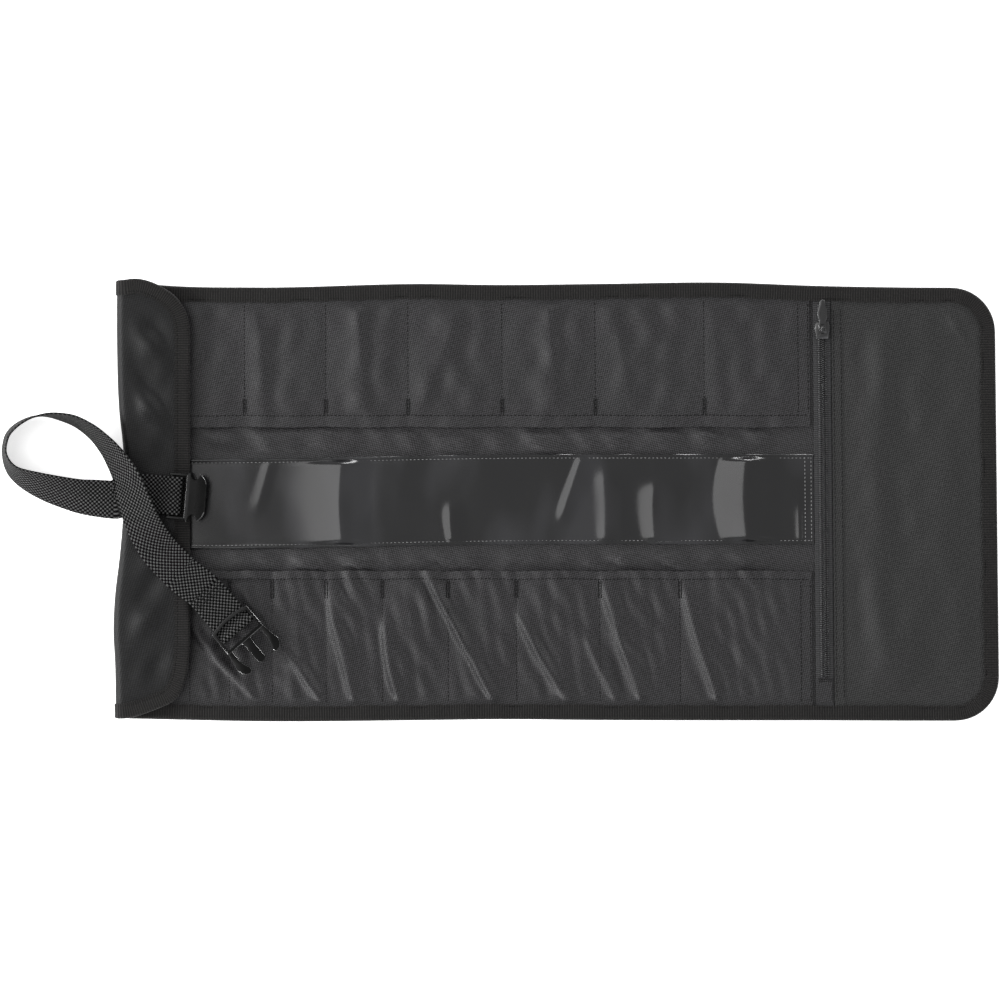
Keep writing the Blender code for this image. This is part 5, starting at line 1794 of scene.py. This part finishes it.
@dataclass
class Strap:
    """The webbing: sewn end, turn through the socket, free loop, turn through the plug, tail."""

    plan: BagPlan
    finishes: Finishes
    width: float = 0.026
    thickness: float = 0.0013
    layer_gap: float = 0.0004
    y: float = 0.0007
    stub: float = 0.0210
    tail: float = 0.0255
    seat: float = 0.0104
    socket_bar: tuple[float, float] = (0.0371, 0.0024)
    socket_turn: float = -4.8
    socket_radius: float = 0.0013
    plug_bar: tuple[float, float] = (0.0768, -0.0822)
    plug_turn: float = -49.5
    plug_radius: float = 0.0012
    plug_offset: float = 0.0078
    plug_back: float = 0.0022
    spans: int = 10
    wrap_steps: int = 18
    slack: float = 0.0054
    loop_rows: tuple[tuple[float, ...], ...] = (
        (0.000, -0.009, 0.555, 178, 5), (-0.170, 0.006, 0.535, 173, 15),
        (-0.345, 0.030, 0.515, 170, 29), (-0.650, 0.116, 0.500, 161, 48),
        (-0.870, 0.224, 0.510, 137, 67), (-0.955, 0.375, 0.520, 96, 78),
        (-0.938, 0.530, 0.525, 64, 79), (-0.866, 0.621, 0.527, 42, 81),
        (-0.750, 0.690, 0.530, 22, 85), (-0.638, 0.716, 0.533, 5, 90),
        (-0.517, 0.711, 0.540, -6, 98), (-0.353, 0.668, 0.560, -20, 106),
        (-0.207, 0.578, 0.610, -33, 112), (-0.103, 0.478, 0.680, -43, 118),
        (-0.022, 0.379, 0.755, -51, 125), (0.056, 0.259, 0.830, -59, 133),
        (0.119, 0.129, 0.890, -64, 142), (0.177, -0.043, 0.870, -61, 150),
        (0.250, -0.233, 0.760, -56, 159), (0.374, -0.438, 0.635, -51, 171),
        (0.556, -0.634, 0.575, -48, 178),
    )

    def __post_init__(self) -> None:
        """Works out the heights that follow from the layers."""
        plan = self.plan
        self.step = self.thickness + self.layer_gap
        self.flap_top = plan.flap_z + plan.shell_cloth / 2
        self.tape_top = self.flap_top + plan.gap + plan.tape_cloth
        turn = self.socket_radius + self.layer_gap + self.thickness
        self.socket_z = self.flap_top + plan.gap + plan.tape_cloth * 0.7 + turn
        self.plug_z = self.seat + self.thickness + self.layer_gap + self.plug_radius
        self.socket_at = (plan.fold + self.socket_bar[0], self.y + self.socket_bar[1])
        self.plug_at = (plan.fold + self.plug_bar[0], self.y + self.plug_bar[1])

    @staticmethod
    def side(heading: float, lean: float) -> Vector:
        """The direction across the strap: right of its heading, lifted by its lean.

        Args:
            heading: the way that the strap runs in plan, in degrees.
            lean: the lift, in degrees.

        Returns:
            The direction.
        """
        angle, tilt = math.radians(heading), math.radians(lean)
        right = Vector((math.sin(angle), -math.cos(angle), 0.0))
        return right * math.cos(tilt) + Vector((0, 0, 1)) * math.sin(tilt)

    @staticmethod
    def ahead_of(origin: tuple[float, float], turn: float, along: float, height: float) -> Vector:
        """A point along a direction in plan, at a height."""
        angle = math.radians(turn)
        return Vector((origin[0] + along * math.cos(angle), origin[1] + along * math.sin(angle), height))

    def wrap(
        self, at: Callable, offset: float, height: float, radius: float, side: Vector, slack: float = 0.0
    ) -> list:
        """The strap's turn round a bar, from under it to over it.

        Args:
            at: gives a point of the buckle half from its distance ahead and its height.
            offset: how far ahead the bar lies.
            height: the bar's height.
            radius: from the bar's axis to the middle of the webbing.
            side: the direction across the webbing.
            slack: how far the turn stands off the bar.

        Returns:
            The turn as (point, direction across) pairs.
        """
        angles = [-math.pi / 2 + math.pi * k / self.wrap_steps for k in range(self.wrap_steps + 1)]
        return [
            (at(offset + (radius + slack) * math.cos(angle), height + radius * math.sin(angle)), side)
            for angle in angles
        ]

    def loop(self) -> list:
        """Follows the free loop.

        Returns:
            Smooth (point, direction across) pairs.
        """
        plan = self.plan
        rows = [
            (plan.fold + a * plan.loop_reach, self.y + b * plan.loop_reach, h * self.width, heading, lean)
            for a, b, h, heading, lean in self.loop_rows
        ]
        route = []
        for k in range(len(rows) - 1):
            p0, p1, p2, p3 = rows[max(k - 1, 0)], rows[k], rows[k + 1], rows[min(k + 2, len(rows) - 1)]
            for step in range(self.spans):
                t = step / self.spans
                values = [between(t, *four) for four in zip(p0, p1, p2, p3)]
                route.append((Vector(values[:3]), self.side(values[3], values[4])))
        route.append((Vector(rows[-1][:3]), self.side(rows[-1][3], rows[-1][4])))
        return route

    def route(self) -> list:
        """Follows the whole strap.

        Returns:
            Its (point, direction across) pairs.
        """
        half = self.thickness / 2
        sewn = self.flap_top + self.plan.gap + half
        across = self.side(180 + self.socket_turn, 0)
        radius = self.socket_radius + self.layer_gap + half
        at = partial(self.ahead_of, self.socket_at, self.socket_turn)
        route = [(at(-self.stub * share, sewn), across) for share in (1.0, 0.7, 0.45)]
        route += self.wrap(at, 0.0, self.socket_z, radius, across, self.slack)
        over = sewn + self.step
        drop = over + (self.socket_z + radius - over) * 0.45
        route.append((at(-self.stub * 0.25, drop), across))
        route += [(at(-self.stub * share, over + self.layer_gap), across) for share in (0.5, 1.0)]
        route.append((at(-self.stub * 1.32, sewn + half), self.side(178, 2)))
        route += self.loop()
        across = self.side(self.plug_turn, 180)
        radius = self.plug_radius + self.layer_gap + half
        low = self.plug_z - radius
        far = self.tape_top + self.layer_gap + half
        at = partial(self.ahead_of, self.plug_at, self.plug_turn)
        shares = (0.0, 0.25, 0.5, 0.75, 1.0)
        slope = [(-self.tail * share, low + (far - low) * share) for share in shares]
        route += [(at(along, z), across) for along, z in reversed(slope)]
        route += self.wrap(at, self.plug_offset, self.plug_z, radius, across)
        route.append((at(self.plug_back * 1.4, low + self.step), across))
        return route + [(at(along, z + self.step), across) for along, z in slope]

    def build(self) -> None:
        """Makes the webbing with rounded selvedges, and the stitches across its tail."""
        route = self.route()
        packed = np.array([[*point, *side] for point, side in route])
        even = smoothed(resampled(packed, 0.7 * MM), 2)
        point, side = even[:, :3], even[:, 3:]
        ahead = unit(np.gradient(point, axis=0))
        side = unit(side - ahead * np.sum(side * ahead, axis=1, keepdims=True))
        through = np.cross(ahead, side)
        half, thick = self.width / 2, self.thickness / 2
        shape = [(-1.0, 0.0), (-0.985, 0.75), (-0.95, 1.0)]
        shape += [(place, 1.0) for place in np.linspace(-0.8, 0.8, 7)]
        shape += [(0.95, 1.0), (0.985, 0.75), (1.0, 0.0)]
        shape += [(a, -b) for a, b in reversed(shape[1:-1])]
        rings = np.stack([point + side * half * a + through * thick * b for a, b in shape], axis=1)
        flat = stacked(np.array([a * half for a, _ in shape])[None, :], run_along(point)[:, None])
        material = self.finishes.webbing.material
        piece = make_band("strap_webbing", rings, flat, False, material)
        place_piece(piece, BAG, Slot.WEBBING, "strap")
        self.sew(point, side, through)

    def sew(self, point: Array, side: Array, through: Array) -> None:
        """Stitches the tail down across the strap.

        Args:
            point: the points along the strap's middle.
            side: the direction across it at each point.
            through: the direction through it at each point.
        """
        needle = self.finishes.needle(1.9 * MM, 1.5 * MM, 0.7 * MM, 0.6 * MM)
        up = through * np.sign(through[:, 2:3])
        for back in (4, 8):
            k = len(point) - 1 - back
            span = np.linspace(-0.92, 0.92, 20)[:, None] * self.width / 2
            line = point[k] + side[k] * span + up[k] * self.thickness / 2
            needle.sew(line, np.tile(up[k], (20, 1)))
        needle.finish("strap_tail_stitches", Slot.WEBBING)


@dataclass
class SocketHalf:
    """The buckle's socket: a rounded hollow body with side windows, arms and a strap bar."""

    strap: Strap
    finishes: Finishes
    frame: float = 0.0315
    side_bar: float = 0.0020
    frame_length: float = 0.0102
    body_length: float = 0.0143
    body_width: float = 0.0345
    body_height: float = 0.0078
    wall: float = 0.0014
    mouth: float = 0.0048
    corner: float = 0.0095
    window_start: float = 0.0022
    window_length: float = 0.0072
    window_depth: float = 0.0068
    arm_back: float = 0.0016

    def build(self) -> None:
        """Makes the socket."""
        strap = self.strap
        bottom = strap.tape_top + strap.layer_gap
        bar = strap.socket_z - bottom
        half, frame = self.body_width / 2, self.frame / 2
        start, end = self.frame_length, self.frame_length + self.body_length
        rounding = [
            (
                end - self.corner + self.corner * math.sin(math.pi / 2 * k / 8),
                half - self.corner + self.corner * math.cos(math.pi / 2 * k / 8),
            )
            for k in range(9)
        ]
        shoulder = [(start, frame - 0.001), (start + 0.0012, half - 0.0006), (start + 0.003, half)]
        outline = mirrored(shoulder + rounding)
        body = Bench.block(outline, 0.0, self.body_height).soften(0.0010, 4)
        middle, inside = self.body_height / 2, half - self.wall * 1.6
        low, high = middle - self.mouth / 2, middle + self.mouth / 2
        back = start + self.wall
        hollow = mirrored([(back, inside * 0.86), (end + 0.003, inside * 0.86)])
        body.cut(Bench.block(hollow, low, high))
        catch = mirrored([(back + self.wall, half * 2), (end - self.corner * 0.8, half * 2)])
        body.cut(Bench.block(catch, low + 0.0003, high - 0.0003))
        for side in (-1, 1):
            window = [
                (
                    start + self.window_start + self.window_length * (1 - math.cos(math.pi * k / 10)) / 2,
                    side * (half - self.window_depth * math.sin(math.pi * k / 10) + 0.001),
                )
                for k in range(11)
            ]
            body.cut(Bench.block(window, -0.001, self.body_height + 0.001))
        for side in (-1, 1):
            along, out = (-self.arm_back, start + 0.0010), (side * (frame - self.side_bar), side * frame)
            arm = [(along[0], out[0]), (along[0], out[1]), (along[1], out[1]), (along[1], out[0])]
            body.combine(Bench.block(arm, bar - self.arm_back, bar + self.arm_back).soften(0.0005))
        reach = frame - self.side_bar / 2
        body.combine(Bench.bar(0.0, reach, bar, strap.socket_radius))
        place = set_down(*strap.socket_at, bottom, strap.socket_turn)
        # Only the edges near the socket's front corners take the painted highlight, standing in for its
        # corner glints.
        material, edges = self.finishes.buckle.material, self.finishes.buckle_edge.material
        painted_reflection_zone = (start + self.body_length * 0.35, half * 0.55)
        piece = body.finish("buckle_socket_moulding", material, place, edges, painted_reflection_zone)
        place_piece(piece, BAG, Slot.BUCKLE, "buckle_socket")


@dataclass
class PlugHalf:
    """The buckle's plug: a frame with two strap bars, two springy prongs and a guide."""

    strap: Strap
    finishes: Finishes
    frame: float = 0.0315
    side_bar: float = 0.0020
    length: float = 0.0155
    arch: float = 0.0024
    bridge: float = 0.0024
    height: float = 0.0046
    prong: float = 0.0215
    prong_thick: float = 0.0040
    prong_wide: float = 0.0036
    lobe: float = 0.0072
    guide_wide: float = 0.0064
    guide_long: float = 0.0205

    def back_bar(self, inner: bool) -> Outline:
        """Plan points of the bowed back bar, from one side to the other.

        Args:
            inner: True for the side that faces the prongs.

        Returns:
            The points.
        """
        half = self.frame / 2 - (self.side_bar if inner else 0.0)
        shift = self.strap.plug_back if inner else 0.0
        places = [-1 + 2 * k / 16 for k in range(17)]
        return [(shift - self.arch * (1 - place * place), place * half) for place in places]

    def build(self) -> None:
        """Makes the plug."""
        strap = self.strap
        half = self.frame / 2
        bar = strap.plug_z
        back_low = bar - strap.plug_radius - strap.layer_gap + strap.step + strap.layer_gap * 1.5
        low = back_low - self.height * 0.55
        high = low + self.height
        front = self.length
        outer = self.back_bar(False) + [(front + self.bridge, half), (front + self.bridge, -half)]
        body = Bench.block(outer, low, high).soften(0.0010)
        inner = self.back_bar(True) + [(front, half - self.side_bar), (front, self.side_bar - half)]
        body.cut(Bench.block(inner, low - 0.001, high + 0.001))
        clear = half - self.side_bar + 0.0003
        body.cut(Bench.block(rectangle(-0.0048, 0.0033, clear), low - 0.001, back_low))
        reach = half - self.side_bar / 2
        body.combine(Bench.bar(strap.plug_offset, reach, bar, strap.plug_radius))
        prong_low = (low + high - self.prong_thick) / 2
        prong_high = prong_low + self.prong_thick
        root, long = front + self.bridge / 2, self.prong
        for side in (-1, 1):
            shape = [
                (root, half - 0.0003),
                (front + long * 0.42, half + 0.0009),
                (front + long * 0.58, half + 0.0018),
                (front + long * 0.70, half + 0.0020),
                (front + long * 0.84, half + 0.0011),
                (front + long * 0.95, half - 0.0010),
                (front + long, half - self.lobe * 0.45),
                (front + long * 0.97, half - self.lobe * 0.75),
                (front + long * 0.86, half - self.lobe * 0.85),
                (front + long * 0.66, half - self.lobe * 0.62),
                (front + long * 0.50, half - self.prong_wide),
                (root, half - self.prong_wide),
            ]
            outline = [(along, side * sideways) for along, sideways in shape]
            body.combine(Bench.block(outline, prong_low, prong_high).soften(0.0006))
        guide = mirrored(
            [
                (root, self.guide_wide * 0.62),
                (front + self.bridge * 2, self.guide_wide / 2),
                (front + self.guide_long * 0.9, self.guide_wide / 2),
                (front + self.guide_long, self.guide_wide * 0.3),
            ]
        )
        thin = self.prong_thick * 0.12
        body.combine(Bench.block(guide, prong_low + thin, prong_high - thin).soften(0.0005))
        place = set_down(*strap.plug_at, 0.0, strap.plug_turn)
        # All of the plug's upper bevels take the painted highlight.
        material, edges = self.finishes.buckle.material, self.finishes.buckle_edge.material
        piece = body.finish("buckle_plug_moulding", material, place, edges)
        place_piece(piece, BAG, Slot.BUCKLE, "buckle_plug")


# The studio


@dataclass
class Studio:
    """A pale floor, soft lights and a camera straight above the bag."""

    frame_width: float = 0.681
    distance: float = 3.2
    sensor: float = 36.0
    glow: float = 0.55
    surround: float = 0.55
    floor_size: float = 8.0
    lamps: tuple[tuple[str, tuple[float, float, float], float, float], ...] = (
        ("key_softbox", (-2.9, 0.6, 4.4), 5.0, 175.0),
        ("side_lamp", (-2.9, 0.2, 1.3), 0.7, 90.0),
        ("low_lamp", (-1.7, -2.5, 0.8), 0.9, 80.0),
        ("back_lamp", (0.3, 2.9, 0.9), 0.8, 28.0),
        ("kicker", (2.0, 1.7, 0.8), 0.6, 30.0),
        ("fill_softbox", (3.4, -1.6, 3.2), 2.4, 45.0),
    )

    def build(self) -> None:
        """Makes the camera, the floor and the lights."""
        self.build_camera()
        self.build_floor()
        self.build_lights()

    def build_camera(self) -> None:
        """The camera, high above the bag and looking straight down."""
        data = bpy.data.cameras.new("camera")
        data.sensor_width = self.sensor
        data.lens = self.sensor * self.distance / self.frame_width
        camera = bpy.data.objects.new("camera", data)
        camera.location = (0.0, 0.0, self.distance)
        bpy.context.scene.collection.objects.link(camera)
        bpy.context.scene.camera = camera

    def build_floor(self) -> None:
        """A wide sheet of white paper, with a faint glow of its own."""
        lay_down_tools()
        bpy.ops.mesh.primitive_plane_add(size=self.floor_size, location=(0.0, 0.0, -0.0001))
        floor = bpy.context.object
        floor.name = "floor_paper"
        bpy.ops.object.transform_apply(location=True)
        material, tree, shader = blank_material("matt_white_paper")
        place = add_node(tree, "ShaderNodeTexCoord").outputs["Object"]
        fibres = add_node(tree, "ShaderNodeTexNoise", {"Vector": place, "Scale": 300.0, "Detail": 3.0})
        colours = {0: fibres, 6: linear("fafafa"), 7: linear("fefefe")}
        shade = add_node(tree, "ShaderNodeMix", colours, data_type="RGBA")
        glow = {"Emission Color": linear("ffffff"), "Emission Strength": self.glow}
        feed(shader, {"Base Color": shade.outputs[2], "Roughness": 0.9, **glow})
        floor.data.materials.append(material)

    def build_lights(self) -> None:
        """A wide key from the upper left, low lamps round the bag, a weak fill and a pale surround."""
        world = bpy.data.worlds.new("studio_surround")
        world.use_nodes = True
        background = world.node_tree.nodes["Background"]
        background.inputs["Color"].default_value = linear("ffffff")
        background.inputs["Strength"].default_value = self.surround
        bpy.context.scene.world = world
        for name, place, size, power in self.lamps:
            self.panel(name, place, size, power)
        bpy.context.scene.view_settings.view_transform = "Standard"

    @staticmethod
    def panel(name: str, place: tuple[float, float, float], size: float, power: float) -> None:
        """A square softbox that faces the bag.

        Args:
            name: the lamp's name.
            place: where it stands.
            size: the length of its sides.
            power: its power in watts.
        """
        data = bpy.data.lights.new(name, "AREA")
        data.size = size
        data.energy = power
        lamp = bpy.data.objects.new(name, data)
        lamp.location = place
        lamp.rotation_euler = Vector(place).to_track_quat("Z", "Y").to_euler()
        bpy.context.scene.collection.objects.link(lamp)


def pocket_rows(plan: BagPlan, finishes: Finishes) -> list[PocketRow]:
    """Sets out the upper row of wide pockets and the lower row of narrow ones.

    Args:
        plan: the bag's sizes.
        finishes: its finishes.

    Returns:
        Both rows.
    """
    upper = PocketRow(
        name="upper_pockets",
        node="upper_pocket_row",
        plan=plan,
        finishes=finishes,
        side=Side.TOP,
        mouth=0.0500,
        hem=0.0090,
        tack_length=0.019,
        seams=(0.052, 0.145, 0.2375, 0.331, 0.438, 0.544, 0.668, 0.774),
        folds=(
            Fold(0.169, 0.158, 0.05, 0.85, 1.0, 0.0009, 0.0060),
            Fold(0.283, 0.272, 0.05, 0.90, 1.4, 0.0011, 0.0050),
            Fold(0.340, 0.385, 0.05, 0.80, 1.0, 0.0009, 0.0070),
            Fold(0.502, 0.490, 0.05, 0.90, 1.0, 0.0010, 0.0060),
            Fold(0.585, 0.562, 0.15, 0.90, 1.0, 0.0007, 0.0060),
            Fold(0.690, 0.676, 0.05, 0.85, 1.0, 0.0006, 0.0060),
        ),
        end_seams=(0.4650, 0.4718),
        bulge=0.0013,
        seed=61,
        flanks=(0.6, 1.1),
        lean=0.0,
    )
    lower = PocketRow(
        name="lower_pockets",
        node="lower_pocket_row",
        plan=plan,
        finishes=finishes,
        side=Side.BOTTOM,
        mouth=-0.0487,
        hem=0.0066,
        tack_length=0.018,
        seams=(0.0375, 0.0825, 0.1275, 0.176, 0.237, 0.301, 0.3755, 0.453, 0.5475, 0.6385, 0.779),
        folds=(
            Fold(0.0851, 0.1680, 0.38, 0.93, 1.2, 0.0015, 0.0030),
            Fold(0.1907, 0.2372, 0.55, 0.93, 1.0, 0.0017, 0.0032),
            Fold(0.2406, 0.2713, 0.10, 0.93, 1.4, 0.0017, 0.0036),
            Fold(0.3036, 0.3224, 0.32, 0.93, 2.2, 0.0020, 0.0034),
            Fold(0.3519, 0.4291, 0.03, 0.93, 1.0, 0.0026, 0.0030),
            Fold(0.4552, 0.5142, 0.28, 0.93, 1.2, 0.0020, 0.0034),
            Fold(0.5312, 0.5664, 0.42, 0.90, 1.2, 0.0015, 0.0034),
            Fold(0.5516, 0.5970, 0.04, 0.93, 1.2, 0.0020, 0.0038),
            Fold(0.6424, 0.6833, 0.06, 0.93, 1.2, 0.0017, 0.0040),
        ),
        end_seams=(0.4655, 0.4720),
        bulge=0.0018,
        seed=71,
    )
    return [upper, lower]


def main() -> None:
    """Builds the studio and every piece of the bag."""
    logging.basicConfig(level=logging.INFO, format="%(name)s: %(message)s")
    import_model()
    Studio().build()
    plan, finishes = BagPlan(), Finishes()
    grid, inner = OuterShell(plan, finishes).build()
    EdgeTape(plan, finishes, grid, inner).build()
    for row in pocket_rows(plan, finishes):
        row.build()
    ClearWindow(plan, finishes).build()
    EndPanel(plan, finishes).build()
    Zip(plan, finishes).build()
    strap = Strap(plan, finishes)
    strap.build()
    SocketHalf(strap, finishes).build()
    PlugHalf(strap, finishes).build()


if __name__ == "__main__":
    main()
